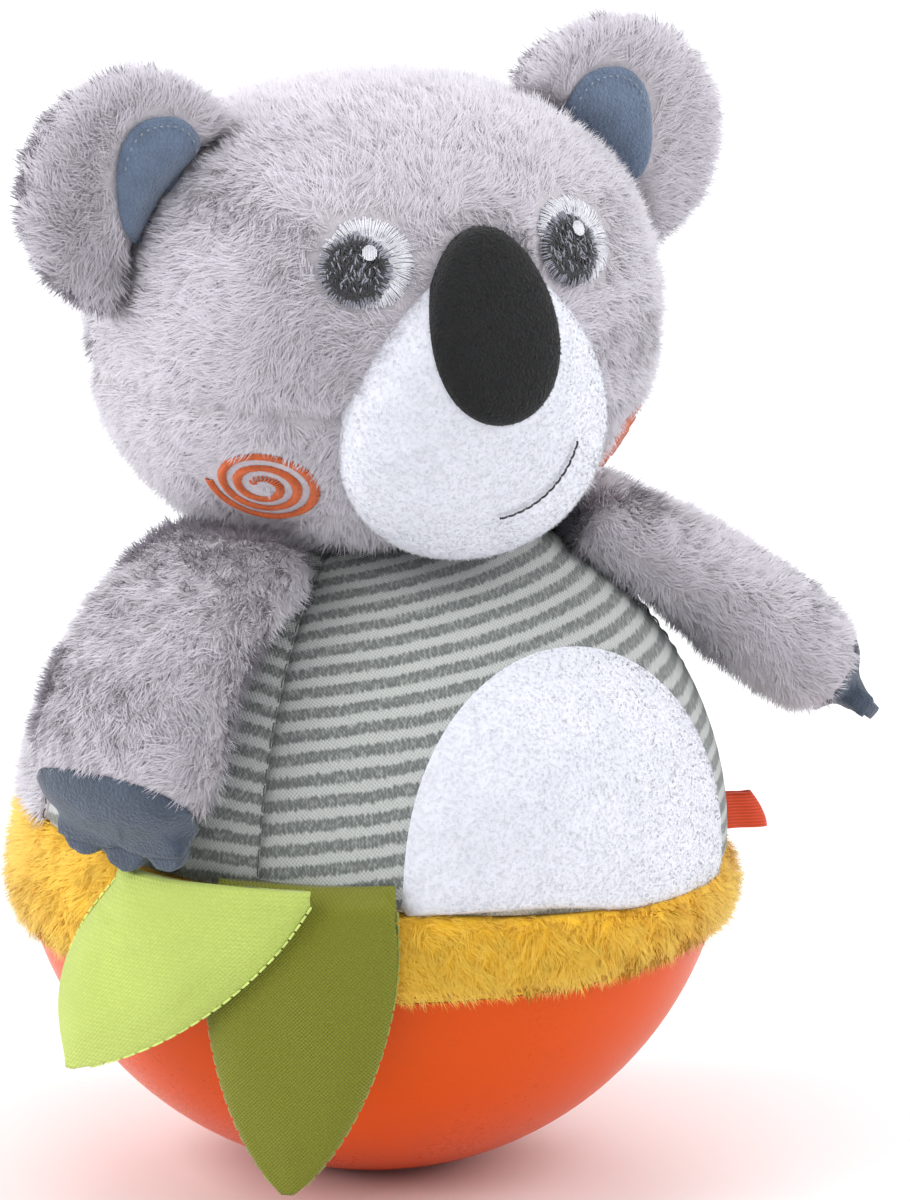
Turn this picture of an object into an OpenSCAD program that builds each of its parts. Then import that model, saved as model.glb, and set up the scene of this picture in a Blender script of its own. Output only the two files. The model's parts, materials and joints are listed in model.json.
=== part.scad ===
// Roly-poly koala: a weighted bowl with a chime, and a stuffed plush body that rocks on it.
// Origin at the middle of the small flat foot, +Z up, the belly faces -Y.

/* [Bowl] */
// Outer radius of the round bowl
bowl_r = 55; // [50:0.5:60]
// Wall of the bowl
bowl_wall = 2.6; // [2:0.1:3.4]
// Radius of the flat foot that the bowl rests on
foot_r = 7; // [5:0.5:9]
// How far the rim lies below the middle of the bowl's sphere
rim_drop = 16; // [14:0.5:18]
// Width of the ledge inside the rim
ledge_w = 8.4; // [7.8:0.1:9]
// Thickness of the ledge
ledge_t = 2.4; // [2:0.1:3]
// Radius of the three screw posts under the ledge
post_r = 3.4; // [3:0.1:3.8]
// Depth of the screw posts below the rim
post_h = 9; // [8.4:0.1:10]

/* [Weight] */
// Share of the bowl's inside height that the iron weight fills
ballast_share = 0.412; // [0.38:0.002:0.43]
// Gap between the weight and the bowl
ballast_gap = 0.3; // [0.2:0.05:0.5]
// Radius of the boss that the weight is centred on
boss_r = 5; // [4.5:0.1:6]
// Outer radius of the washer
washer_r = 4.4; // [4:0.1:5]
// Thickness of the washer
washer_t = 0.8; // [0.6:0.1:1.2]

/* [Screws] */
// Radius of a screw's shank
shank_r = 1.4; // [1.2:0.05:1.6]
// Clearance of a shank in its hole
shank_gap = 0.1; // [0.05:0.05:0.2]
// Radius of the round head of the middle screw
pan_r = 2.9; // [2.6:0.1:3.4]
// Height of the round head
pan_h = 2; // [1.6:0.1:2.2]
// Length of the middle screw below its head
pan_screw_len = 13; // [11:0.5:14]
// Radius of a countersunk head
sunk_r = 2.7; // [2.4:0.1:2.9]
// Height of a countersunk head
sunk_h = 1.5; // [1.2:0.1:1.8]
// Length of a countersunk screw with its head
sunk_screw_len = 9; // [8:0.5:10]

/* [Chime] */
// Radius of the plate that carries the rods
plate_r = 13; // [12.5:0.5:15]
// Thickness of the plate
plate_t = 2.4; // [2:0.1:3]
// Radius of a chime rod
rod_r = 1.2; // [1:0.05:1.4]
// Radius of the circle on which the rods stand
rod_circle_r = 9.5; // [9.2:0.1:11]
// Length of the longest rod
rod_len = 15; // [13.5:0.5:16]
// How much shorter each next rod is
rod_step = 0.8; // [0.4:0.1:1]
// Radius of the clapper's ball
clapper_r = 3; // [2.5:0.1:3.2]
// Height of the middle of the clapper's ball above the weight
clapper_lift = 10.7; // [10.2:0.1:11.2]
// Radius of the clapper's stem
stem_r = 0.8; // [0.6:0.1:1]
// Radius of the pin that the clapper swings on
pin_r = 0.8; // [0.7:0.05:1]
// Running clearance on the pin
pin_gap = 0.08; // [0.05:0.01:0.1]
// Outer radius of the clapper's eye
eye_r = 1.9; // [1.7:0.1:2.3]
// Length of the eye along the pin
eye_len = 3.6; // [3:0.1:4.5]
// Thickness of each lug under the lid
lug_t = 1.6; // [1.4:0.1:2]
// Width of each lug
lug_w = 5; // [4.6:0.1:6]
// From the underside of the lid to the pin
lug_drop = 3.2; // [2.8:0.1:3.6]
// Gap between the clapper's eye and a lug
lug_gap = 0.3; // [0.2:0.05:0.5]

/* [Lid and hem] */
// How far the lid's edge stays inside the bowl's rim
lid_edge = 3.4; // [3.2:0.1:3.6]
// Thickness of the lid
lid_t = 2.5; // [2.2:0.1:3]
// Thickness of the plush hem that the lid clamps
hem_t = 1; // [0.8:0.1:1.4]

/* [Torso] */
// How far the body stays inside the bowl's outline
torso_inset = 0.4; // [0:0.1:1.5]
// How far the middle of the torso lies below the middle of the bowl
torso_drop = 3; // [2:0.5:4]
// Thickness of the torso's cloth
panel_t = 1.4; // [1:0.1:2]
// How far the middle of the seam lies below the middle of the bowl
seam_drop = 0.7; // [0:0.1:2]
// Lean of the seam, higher behind the right arm
seam_lean = 5.5; // [0:0.5:6]
// Radius of the gathered neck opening
neck_r = 18; // [15:0.5:20]
// Half of the angle that the belly panel spans
belly_angle = 60; // [52:1:66]
// Angle that each side panel spans
side_angle = 50; // [40:1:56]
// How far the band stands out from the bowl
band_proud = 1; // [0.4:0.1:2]
// Radius of the band's rounding
band_round_r = 16; // [13:0.5:20]
// Gap between the band and the lid's edge
band_gap = 0.4; // [0.3:0.1:1]
// Radius of the pale belly patch
patch_r = 33; // [28:0.5:36]
// Height of the middle of the patch's round top above the seam
patch_rise = 2.2; // [1:0.1:4]
// Thickness of the belly patch
patch_t = 0.8; // [0.6:0.1:1.2]

/* [Tag] */
// How far the ribbon tag stands out
tag_len = 6.4; // [5:0.2:9]
// Width of the ribbon
tag_w = 5.6; // [4:0.2:8]
// Thickness of the folded ribbon
tag_t = 1.2; // [1:0.1:1.6]
// Height of the tag's lower edge above the seam
tag_rise = 0.8; // [0.6:0.1:2]

/* [Head] */
// Width of the head
head_w = 87; // [84:0.5:90]
// Depth of the head from its middle to the face
head_front = 37.5; // [36:0.5:39]
// Depth of the head from its middle to the back
head_back = 37.5; // [36:0.5:39]
// Height of the head
head_h = 72; // [70:0.5:74]
// How far the head sinks onto the torso
head_sink = 8; // [7:0.5:9]
// Angle that the head is turned by, towards its right
head_turn = 13.5; // [8:0.5:18]
// How far the head turns on from there, towards its left
head_swing = 33; // [20:1:36]
// Gap between the head and the torso
neck_gap = 0.4; // [0.3:0.05:0.6]
// Longest side of the muzzle pad
muzzle_h = 47; // [45:0.5:49]
// Width of the muzzle pad
muzzle_w = 44; // [41:0.5:46]
// How far the middle of the muzzle pad lies below the middle of the head
muzzle_drop = 8; // [7:0.5:9]
// How far the muzzle stands in front of the face
muzzle_swell = 5.5; // [4.5:0.1:6.5]
// Length of the felt nose
nose_h = 30.5; // [28:0.5:33]
// Width of the felt nose
nose_w = 21.5; // [19:0.5:24]
// Thickness of the felt nose
nose_t = 3.4; // [2.8:0.1:4]
// Height of the middle of the nose above the middle of the head
nose_rise = 5.6; // [4.6:0.2:7]
// How far the nose leans back
nose_lean = 16; // [10:1:20]

/* [Face stitching] */
// Diameter of the white of an eye
eye_d = 14; // [12:0.5:15]
// Diameter of an iris
iris_d = 11.4; // [9.5:0.1:11.8]
// Thickness of each layer of stitching
thread_t = 0.6; // [0.4:0.1:0.8]
// Width of the mouth's line
mouth_w = 1; // [0.8:0.1:1.4]
// Radius of the mouth's curve
mouth_r = 15.5; // [14:0.5:17]
// Outer radius of a cheek's spiral
spiral_r = 10.5; // [9:0.5:11]
// Width of the spiral's band of stitches
spiral_w = 2.8; // [2.4:0.1:3]

/* [Ears] */
// Diameter of an ear
ear_d = 37; // [34:0.5:40]
// Thickness of an ear
ear_t = 13; // [11:0.5:15]
// From the middle of the head out to the middle of an ear
ear_out = 41.5; // [40.5:0.5:43]
// From the middle of the head up to the middle of an ear
ear_up = 23.5; // [22:0.5:25]
// Gap between an ear and the head
ear_gap = 0.4; // [0.3:0.05:0.6]
// How far an ear flops forward
ear_flop_front = 18; // [12:1:20]
// How far an ear flops back
ear_flop_back = 12; // [8:1:15]
// How far the felt lining reaches from the ear's root
lining_h = 10; // [8:0.5:12]
// Gap between the lining and the ear
lining_gap = 0.3; // [0.2:0.05:0.4]
// Thickness of the felt lining
lining_t = 1; // [0.8:0.1:1.4]

/* [Arms] */
// Length of an arm
arm_len = 52; // [49:0.5:55]
// Width of an arm
arm_w = 33; // [30:0.5:35]
// Thickness of an arm
arm_t = 16.5; // [14.5:0.5:17.5]
// From the middle of the body out to an arm's root
arm_out = 31; // [30:0.5:32]
// Gap between an arm and what it rests on
arm_gap = 0.4; // [0.3:0.05:0.6]
// Direction of the right arm from the belly
right_arm_turn = 80; // [74:1:84]
// Direction of the left arm from the belly
left_arm_turn = 60; // [56:1:66]
// How far an arm can be raised
arm_raise = 30; // [20:1:34]
// How far the left arm can be lowered
arm_lower = 8; // [4:1:10]
// Width of the felt claws
claws_w = 24; // [22:0.5:26]
// How far the felt claws stand out of the arm
claws_len = 6.5; // [5:0.1:8]
// Thickness of the felt claws
claws_t = 2.4; // [2:0.1:3]

/* [Leaves] */
// Length of the dark leaf
dark_leaf_len = 45; // [40:0.5:46]
// Width of the dark leaf
dark_leaf_w = 31; // [28:0.5:34]
// Length of the light leaf
light_leaf_len = 31; // [28:0.5:34]
// Width of the light leaf
light_leaf_w = 38; // [35:0.5:40]
// Thickness in the middle of a leaf
leaf_t = 3; // [2.6:0.1:3.4]
// Thickness at a leaf's edge
leaf_edge_t = 1.5; // [1.2:0.1:2]
// Gap between a leaf and what it lies on
leaf_gap = 0.4; // [0.3:0.05:0.6]

/* [Hidden] */
$fn = 96;
soft_fn = 64;
// One overrun serves all cuts
over = 1;

// Levels above the foot
mid_z = sqrt(bowl_r * bowl_r - foot_r * foot_r);
rim_z = mid_z - rim_drop;
inside_r = bowl_r - bowl_wall;
floor_z = mid_z - inside_r;
ballast_z = floor_z + (rim_z - floor_z) * ballast_share;
plate_z = ballast_z + plate_t;
lid_z = rim_z + hem_t;
lid_top_z = lid_z + lid_t;
seam_z = mid_z - seam_drop;
torso_z = mid_z - torso_drop;
pin_z = lid_z - lug_drop;
clapper_len = pin_z - ballast_z - clapper_lift;
rim_r = sqrt(bowl_r * bowl_r - rim_drop * rim_drop);
lid_r = rim_r - lid_edge;
band_in_r = lid_r + band_gap;
band_r = bowl_r + band_proud;
torso_r = bowl_r - torso_inset;
ledge_in_r = rim_r - ledge_w;
post_circle_r = ledge_in_r + post_r - shank_r;
hole_r = shank_r + shank_gap;
boss_z = ballast_z - ballast_gap;
stuffing_r = torso_r - panel_t;

// Colours
orange = "#df6012";
iron = "#55575a";
steel = "#b9bcc2";
ivory = "#e9e4d6";
yellow = "#f0b338";
grey_plush = "#a9a5aa";
stripe_grey = "#9a9ea0";
velour = "#e3e6f2";
black = "#24272a";
slate = "#5a6672";
rust = "#bf5a14";
lime = "#c2ce74";
olive = "#8c8f1f";
red = "#c74828";

module disc(r, t) {
    linear_extrude(t) circle(r);
}

module ring(r, hole, t) {
    linear_extrude(t) difference() {
        circle(r);
        circle(hole);
    }
}

// Keeps a soft form as one faceted skin
module sewn() {
    resize([0, 0, 0]) children();
}

// Places its children at each of the three lid screws
module at_lid_screws() {
    for (i = [0 : 2]) at_lid_screw(i) children();
}

module at_lid_screw(i) {
    rotate(120 * i + 90) translate([post_circle_r, 0, 0]) children();
}

// BOWL

module bowl_section() {
    translate([0, mid_z]) difference() {
        intersection() {
            circle(bowl_r);
            translate([0, -mid_z]) square([bowl_r, mid_z - rim_drop]);
        }
        intersection() {
            circle(inside_r);
            translate([-over, -bowl_r]) square([bowl_r + over, bowl_r - rim_drop - ledge_t]);
        }
        translate([-over, -rim_drop - ledge_t - over]) square([ledge_in_r + over, ledge_t + over * 2]);
    }
}

module bowl() {
    color(orange) difference() {
        union() {
            rotate_extrude() bowl_section();
            translate([0, 0, floor_z - bowl_wall / 2]) disc(boss_r, boss_z - floor_z + bowl_wall / 2);
            intersection() {
                at_lid_screws() translate([0, 0, rim_z - post_h]) disc(post_r, post_h - ledge_t / 2);
                translate([0, 0, mid_z]) sphere(bowl_r - bowl_wall / 2);
            }
        }
        translate([0, 0, plate_z + washer_t - pan_screw_len - over]) disc(hole_r, pan_screw_len + over);
        at_lid_screws() translate([0, 0, lid_top_z - sunk_screw_len]) disc(hole_r, sunk_screw_len);
    }
}

module ballast() {
    color(iron) difference() {
        intersection() {
            translate([0, 0, mid_z]) sphere(inside_r - ballast_gap);
            disc(bowl_r, ballast_z);
        }
        disc(boss_r + ballast_gap, ballast_z + over);
    }
}

module ballast_washer() {
    color(steel) translate([0, 0, plate_z]) ring(washer_r, hole_r, washer_t);
}

module ballast_screw() {
    color(steel) translate([0, 0, plate_z + washer_t]) {
        disc(pan_r, pan_h);
        translate([0, 0, -pan_screw_len]) disc(shank_r, pan_screw_len);
    }
}

// CHIME

module at_rod(i) {
    rotate(90 * i) translate([rod_circle_r, 0, 0]) children();
}

module chime_plate() {
    color(ivory) translate([0, 0, ballast_z]) difference() {
        disc(plate_r, plate_t);
        translate([0, 0, -over]) disc(hole_r, plate_t + over * 2);
        for (i = [0 : 3]) at_rod(i) translate([0, 0, -over]) disc(rod_r + shank_gap, plate_t + over * 2);
    }
}

module chime_rod(i) {
    color(steel) at_rod(i) translate([0, 0, ballast_z]) disc(rod_r, rod_len - rod_step * i);
}

module bowl_lid() {
    lug_x = eye_len / 2 + lug_gap;
    hole_half = lug_x + lug_t + over;
    color(ivory) difference() {
        union() {
            translate([0, 0, lid_z]) disc(lid_r, lid_t);
            for (side = [-1, 1]) translate([side * (lug_x + lug_t / 2), 0, lid_z - lug_drop]) {
                translate([-lug_t / 2, -lug_w / 2, 0]) cube([lug_t, lug_w, lug_drop]);
                rotate([0, 90, 0]) translate([0, 0, -lug_t / 2]) disc(lug_w / 2, lug_t);
            }
        }
        translate([-hole_half, 0, pin_z]) rotate([0, 90, 0]) disc(pin_r, hole_half * 2);
        at_lid_screws() translate([0, 0, lid_z - over]) disc(hole_r, lid_t + over * 2);
        at_lid_screws() translate([0, 0, lid_top_z - sunk_h])
            cylinder(h = sunk_h, r1 = hole_r, r2 = sunk_r + shank_gap);
    }
}

module lid_screw(i) {
    color(steel) at_lid_screw(i) {
        translate([0, 0, lid_top_z - sunk_screw_len]) disc(shank_r, sunk_screw_len);
        translate([0, 0, lid_top_z - sunk_h]) cylinder(h = sunk_h, r1 = shank_r, r2 = sunk_r);
    }
}

module clapper_pin() {
    pin_half = eye_len / 2 + lug_gap + lug_t;
    color(steel) translate([-pin_half, 0, pin_z]) rotate([0, 90, 0]) disc(pin_r, pin_half * 2);
}

module clapper() {
    color(steel) translate([0, 0, pin_z]) difference() {
        union() {
            translate([-eye_len / 2, 0, 0]) rotate([0, 90, 0]) disc(eye_r, eye_len);
            translate([0, 0, -clapper_len]) disc(stem_r, clapper_len);
            translate([0, 0, -clapper_len]) sphere(clapper_r);
        }
        translate([-eye_len / 2 - over, 0, 0]) rotate([0, 90, 0]) disc(pin_r + pin_gap, eye_len + over * 2);
    }
}

// TORSO

module plush_hem() {
    color(yellow) translate([0, 0, rim_z]) difference() {
        ring(rim_r, ledge_in_r, hem_t);
        at_lid_screws() translate([0, 0, -over]) disc(hole_r, hem_t + over * 2);
    }
}

// The side of the body on which the seam is highest, measured from the belly
seam_high_turn = -131.5;
seam_swing = band_r * tan(seam_lean);
seam_span = bowl_r * 2;

// Height of the seam at a place around the body
function seam_at(turn, r) = seam_z + r * cos(turn - seam_high_turn) * tan(seam_lean);

// Everything on one side of the leaning seam
module beside_seam(low) {
    translate([0, 0, seam_z]) rotate(seam_high_turn - 90) rotate([0, -seam_lean, 0])
        translate([-seam_span, -seam_span, low]) cube([seam_span * 2, seam_span * 2, seam_span]);
}

module rim_band() {
    color(yellow) intersection() {
        rotate_extrude() intersection() {
            union() {
                translate([band_r - band_round_r, (seam_z + lid_z) / 2]) circle(band_round_r);
                translate([0, torso_z]) circle(torso_r);
            }
            translate([band_in_r, lid_z]) square([band_r - band_in_r, seam_z + seam_swing - lid_z]);
        }
        beside_seam(-seam_span);
    }
}

// Half section of the dome out to radius r, from just below the lowest stretch of the seam
module dome_section(r) {
    intersection() {
        translate([0, torso_z]) circle(r);
        translate([0, seam_z - seam_swing]) square([torso_r, torso_r * 2]);
    }
}

module torso_stuffing() {
    color(velour) union() {
        intersection() {
            rotate_extrude() dome_section(stuffing_r);
            beside_seam(0);
        }
        intersection() {
            translate([0, 0, lid_top_z]) disc(band_in_r, seam_z + seam_swing - lid_top_z);
            beside_seam(-seam_span);
        }
        rotate_extrude() intersection() {
            translate([0, torso_z]) circle(torso_r);
            translate([0, mid_z]) square([neck_r, torso_r]);
        }
    }
}

// A panel of the torso's cloth from one angle to another, measured from the belly
module torso_panel(from, to) {
    intersection() {
        rotate(from - 90) rotate_extrude(angle = to - from) difference() {
            dome_section(torso_r);
            dome_section(stuffing_r);
            square([neck_r, torso_z + torso_r]);
        }
        beside_seam(0);
    }
}

module belly_panel() {
    color(stripe_grey) torso_panel(-belly_angle, belly_angle);
}

module right_side_panel() {
    color(stripe_grey) torso_panel(-belly_angle - side_angle, -belly_angle);
}

module left_side_panel() {
    color(stripe_grey) torso_panel(belly_angle, belly_angle + side_angle);
}

module back_panel() {
    color(grey_plush) torso_panel(belly_angle + side_angle, 360 - belly_angle - side_angle);
}

module patch_outline() {
    circle(patch_r);
    translate([-patch_r, -patch_r]) square([patch_r * 2, patch_r]);
}

module belly_patch() {
    color(velour) difference() {
        intersection() {
            translate([0, 0, torso_z]) sphere(torso_r + patch_t);
            translate([0, 0, seam_z + patch_rise]) rotate([90, 0, 0])
                linear_extrude(torso_r + patch_t) patch_outline();
            beside_seam(0);
        }
        translate([0, 0, torso_z]) sphere(torso_r);
    }
}

// The ribbon's loop stands out of the seam beside the belly
tag_z = seam_at(belly_angle, torso_r) + tag_rise;
tag_root_r = torso_r + leaf_gap + tag_t / 2;

module tag() {
    color(red) rotate(belly_angle - 90) translate([tag_root_r, 0, tag_z]) linear_extrude(tag_w) union() {
        translate([0, -tag_t / 2]) square([tag_len - tag_t / 2, tag_t]);
        circle(tag_t / 2);
        translate([tag_len - tag_t / 2, 0]) circle(tag_t / 2);
    }
}

// SOFT FORMS

// Closed skin over rings of points, with a point in the middle of each end
module skin(rings) {
    count = len(rings);
    sides = len(rings[0]);
    points = concat([for (loop = rings) each loop], [middle(rings[0]), middle(rings[count - 1])]);
    walls = [for (i = [0 : count - 2], j = [0 : sides - 1]) each [
        [i * sides + j, (i + 1) * sides + j, i * sides + (j + 1) % sides],
        [i * sides + (j + 1) % sides, (i + 1) * sides + j, (i + 1) * sides + (j + 1) % sides]
    ]];
    caps = [for (j = [0 : sides - 1]) each [
        [count * sides, j, (j + 1) % sides],
        [count * sides + 1, (count - 1) * sides + (j + 1) % sides, (count - 1) * sides + j]
    ]];
    polyhedron(points, concat(walls, caps));
}

function middle(loop) = [for (k = [0 : 2]) total([for (p = loop) p[k]]) / len(loop)];

function total(list, i = 0) = i == len(list) ? 0 : list[i] + total(list, i + 1);

// HEAD

head_z = torso_z + torso_r - head_sink + head_h / 2;
head_power = 2.3;
head_rings = 22;
head_sides = 40;

function heading(lon, lat) = [cos(lat) * sin(lon), -cos(lat) * cos(lon), sin(lat)];

// From the middle of the head to its surface, along a direction
function head_reach(d) = pow(
    pow(abs(d.x) / (head_w / 2), head_power)
    + pow(abs(d.y) / (d.y < 0 ? head_front : head_back), head_power)
    + pow(abs(d.z) / (head_h / 2), head_power), -1 / head_power);

// The head's full form about its own middle, grown by a margin all round
module head_form(grow = 0) {
    skin([for (i = [0 : head_rings]) let (lat = -90 + 180 * (i + 0.5) / (head_rings + 1))
        [for (j = [0 : head_sides - 1]) let (d = heading(360 * j / head_sides, lat))
            d * (head_reach(d) + grow)]]);
}

module on_head() {
    translate([0, 0, head_z]) rotate(-head_turn) children();
}

// The muzzle pad's full form, wider below than above
muzzle_rings = 14;
muzzle_sides = 24;
muzzle_seat_share = 0.86;
muzzle_y = -head_front * muzzle_seat_share;
muzzle_pear_share = 0.16;

function muzzle_point(lon, lat, grow) = let (
    d = heading(lon, lat),
    half_w = muzzle_w / 2 * (1 - muzzle_pear_share * d.z) + grow,
    half_d = head_front + muzzle_swell + muzzle_y + grow,
    half_h = muzzle_h / 2 + grow
) [d.x * half_w, muzzle_y + d.y * half_d, d.z * half_h - muzzle_drop];

module muzzle_form(grow = 0) {
    skin([for (i = [0 : muzzle_rings]) let (lat = -90 + 180 * (i + 0.5) / (muzzle_rings + 1))
        [for (j = [0 : muzzle_sides - 1]) muzzle_point(360 * j / muzzle_sides, lat, grow)]]);
}

module torso_clearance() {
    translate([0, 0, torso_z]) sphere(torso_r + neck_gap, $fn = soft_fn);
}

module head() {
    color(grey_plush) sewn() difference() {
        on_head() head_form();
        torso_clearance();
    }
}

module muzzle() {
    color(velour) sewn() difference() {
        on_head() muzzle_form();
        on_head() head_form();
        torso_clearance();
    }
}

// The nose's full form, an egg that is wider below, leaning back
nose_rings = 10;
nose_sides = 20;
nose_egg_share = 0.14;

module nose_form() {
    seat = -head_front - nose_t / 2 + nose_rise * tan(nose_lean) / 2;
    translate([0, seat, nose_rise]) rotate([-nose_lean, 0, 0])
        skin([for (i = [0 : nose_rings]) let (lat = -90 + 180 * (i + 0.5) / (nose_rings + 1))
            [for (j = [0 : nose_sides - 1]) let (d = heading(360 * j / nose_sides, lat))
                [d.x * nose_w / 2 * (1 - nose_egg_share * d.z), d.y * nose_t, d.z * nose_h / 2]]]);
}

module nose() {
    color(black) sewn() on_head() difference() {
        nose_form();
        head_form();
        muzzle_form();
    }
}

// A layer of stitching on the head between two heights above it
module head_layer(from, to) {
    difference() {
        head_form(to);
        head_form(from);
    }
}

// Places its children on the head, with +Z pointing out of it
module facing(lon, lat) {
    rotate([90 - lat, 0, lon]) children();
}

eye_lon = 29;
eye_lat = 23.5;
iris_shift_share = 0.09;

module eye_layer(side, d, from, to, shift) {
    sewn() on_head() intersection() {
        head_layer(from, to);
        facing(side * eye_lon, eye_lat) translate([shift, shift, 0]) cylinder(h = head_w, d = d, $fn = 28);
    }
}

module eye_white(side) {
    color(velour) eye_layer(side, eye_d, 0, thread_t, 0);
}

module iris(side) {
    color(black) eye_layer(side, iris_d, thread_t, thread_t * 2, -eye_d * iris_shift_share);
}

// One stitched line curves up from the middle of the mouth towards the left cheek
mouth_from = -78;
mouth_to = -12;
mouth_z = -muzzle_drop;

module mouth_stitch() {
    color(black) sewn() on_head() difference() {
        intersection() {
            muzzle_form(thread_t);
            translate([0, 0, mouth_z]) rotate([90, 0, 0]) linear_extrude(head_w) arc_band(mouth_r, mouth_w);
        }
        muzzle_form();
        head_form();
    }
}

// A flat band along an arc, with round ends
module arc_band(r, w) {
    steps = 12;
    turn = (mouth_to - mouth_from) / steps;
    polygon(concat(
        [for (i = [0 : steps]) (r + w / 2) * [cos(mouth_from + turn * i), sin(mouth_from + turn * i)]],
        [for (i = [steps : -1 : 0]) (r - w / 2) * [cos(mouth_from + turn * i), sin(mouth_from + turn * i)]]
    ));
}

// The cheeks carry a spiral of satin stitches
spiral_lon = 54;
spiral_lat = -27;
spiral_turns = 2;
spiral_steps = 36;
spiral_flat_share = 0.78;

function spiral_at(i, offset) = let (
    angle = 360 * spiral_turns * i / spiral_steps,
    r = spiral_w / 2 + (spiral_r - spiral_w) * i / spiral_steps + offset
) [r * cos(angle), r * sin(angle) * spiral_flat_share];

module cheek_spiral(side) {
    half = spiral_w / 2 * spiral_flat_share;
    color(rust) sewn() on_head() intersection() {
        head_layer(0, thread_t);
        facing(side * spiral_lon, spiral_lat) linear_extrude(head_w) scale([side, 1]) polygon(concat(
            [for (i = [0 : spiral_steps]) spiral_at(i, half)],
            [for (i = [spiral_steps : -1 : 0]) spiral_at(i, -half)]
        ));
    }
}

// EARS

ear_rings = 18;
ear_steps = 9;
ear_slope = atan2(ear_up, ear_out);
// Where the ear's round outline meets the head, measured about the ear from its root's far side
ear_arcs = [-112, 124];
// The root is thin enough to flop both ways over the head
ear_room_share = 0.75;
ear_root_half = ear_gap * ear_room_share / sin(max(ear_flop_front, ear_flop_back));
ear_pinch_share = 0.35;
ear_dish_share = 0.45;
ear_edge_power = 3;
ear_last_share = 0.98;

function between(ends, v) = ends[0] + (ends[1] - ends[0]) * v;

// The ear's rim and, nearest to it, the line along which it is sewn to the head
function ear_rim(v) = let (a = ear_slope + between(ear_arcs, v))
    [ear_out + ear_d / 2 * cos(a), 0, ear_up + ear_d / 2 * sin(a)];

ear_feet = [for (v = [0, 1]) atan2(ear_rim(v).z, ear_rim(v).x)];

function ear_foot(v) = let (a = between(ear_feet, v), d = [cos(a), 0, sin(a)]) d * (head_reach(d) + ear_gap);

function ear_half(v, t) = sqrt(1 - pow(abs(2 * v - 1), ear_edge_power))
    * sqrt(1 - pow(t, ear_edge_power))
    * (ear_root_half + (ear_t / 2 - ear_root_half) * sin(90 * min(1, t / ear_pinch_share)));

function ear_front(v, t) = ear_half(v, t) * (1 - ear_dish_share * sin(180 * t) * sin(180 * v));

// A point of the ear between its root at t = 0 and its rim at t = 1, set back from its middle plane
function ear_at(v, t, back) = ear_foot(v) + (ear_rim(v) - ear_foot(v)) * t + [0, back, 0];

module at_ear(side) {
    on_head() scale([side, 1, 1]) children();
}

module ear(side) {
    color(grey_plush) sewn() at_ear(side) skin([for (i = [0 : ear_rings])
        let (v = (1 + ear_last_share * (2 * i / ear_rings - 1)) / 2) concat(
            [for (k = [0 : ear_steps]) ear_at(v, k / ear_steps, -ear_front(v, k / ear_steps))],
            [for (k = [ear_steps - 1 : -1 : 0]) ear_at(v, k / ear_steps, ear_half(v, k / ear_steps))]
        )]);
}

lining_rings = 12;
lining_steps = 4;
lining_root_share = 0.05;
lining_spans = [0.09, 0.87];

// Felt on the front of the ear, from its root out to a rounded edge
module ear_lining(side) {
    color(slate) sewn() at_ear(side) skin([for (i = [0 : lining_rings]) let (
        w = ear_last_share * (2 * i / lining_rings - 1),
        v = between(lining_spans, (1 + w) / 2),
        top = lining_h / norm(ear_rim(v) - ear_foot(v)) * sqrt(1 - w * w)
    ) [for (k = [0 : lining_steps * 2 + 1]) let (
        out = k <= lining_steps,
        t = lining_root_share + top * (out ? k : lining_steps * 2 + 1 - k) / lining_steps
    ) ear_at(v, t, -ear_front(v, t) - lining_gap - (out ? lining_t : 0))]]);
}

// ARMS

arm_rings = 14;
arm_sides = 22;
arm_root_share = 0.8;
arm_end_share = 0.78;
arm_power = 2.4;
arm_last_share = 0.995;
arm_root_z = (sqrt(torso_r * torso_r - arm_out * arm_out) + torso_z
    + head_z - head_h / 2 * pow(1 - pow(arm_out / (head_w / 2), head_power), 1 / head_power)) / 2;
// Slope of the arm at its root and at its end, below the horizontal
right_arm_slopes = [8, 96];
left_arm_slopes = [27, 42];

// A point along the middle of the arm, in its own upright plane
function arm_at(t, slopes) = let (
    slope = slopes[0] + (slopes[1] - slopes[0]) * t,
    bend = arm_len * 180 / PI / (slopes[1] - slopes[0])
) [arm_out + bend * (sin(slope) - sin(slopes[0])), 0, arm_root_z + bend * (cos(slope) - cos(slopes[0]))];

// The arm swells from its root and closes in a round end
function arm_swell(t) = (arm_root_share + (1 - arm_root_share) * sin(90 * min(1, t / arm_end_share)))
    * pow(1 - pow(max(0, t - arm_end_share) / (1 - arm_end_share), arm_power), 1 / arm_power);

function arm_ring(t, slopes) = let (
    slope = slopes[0] + (slopes[1] - slopes[0]) * t,
    swell = arm_swell(t)
) [for (j = [0 : arm_sides - 1]) let (
    a = 360 * j / arm_sides,
    k = pow(pow(abs(cos(a)), arm_power) + pow(abs(sin(a)), arm_power), -1 / arm_power) * swell / 2,
    rise = arm_t * k * sin(a)
) arm_at(t, slopes) + [sin(slope) * rise, arm_w * k * cos(a), cos(slope) * rise]];

// Rings stand closer together towards the round end
module arm_form(slopes) {
    skin([for (i = [0 : arm_rings]) arm_ring(arm_last_share * sin(90 * i / arm_rings), slopes)]);
}

// The head's widest outline all round, so that the arm clears the head at every turn
module head_sweep(grow) {
    wide = max(head_w / 2, head_front);
    rotate_extrude($fn = soft_fn) polygon([for (i = [0 : head_rings]) let (
        lat = -90 + 180 * i / head_rings,
        d = [cos(lat), 0, sin(lat)]
    ) (head_reach(d) * wide / (head_w / 2) + grow) * [cos(lat), sin(lat)]]);
}

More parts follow.
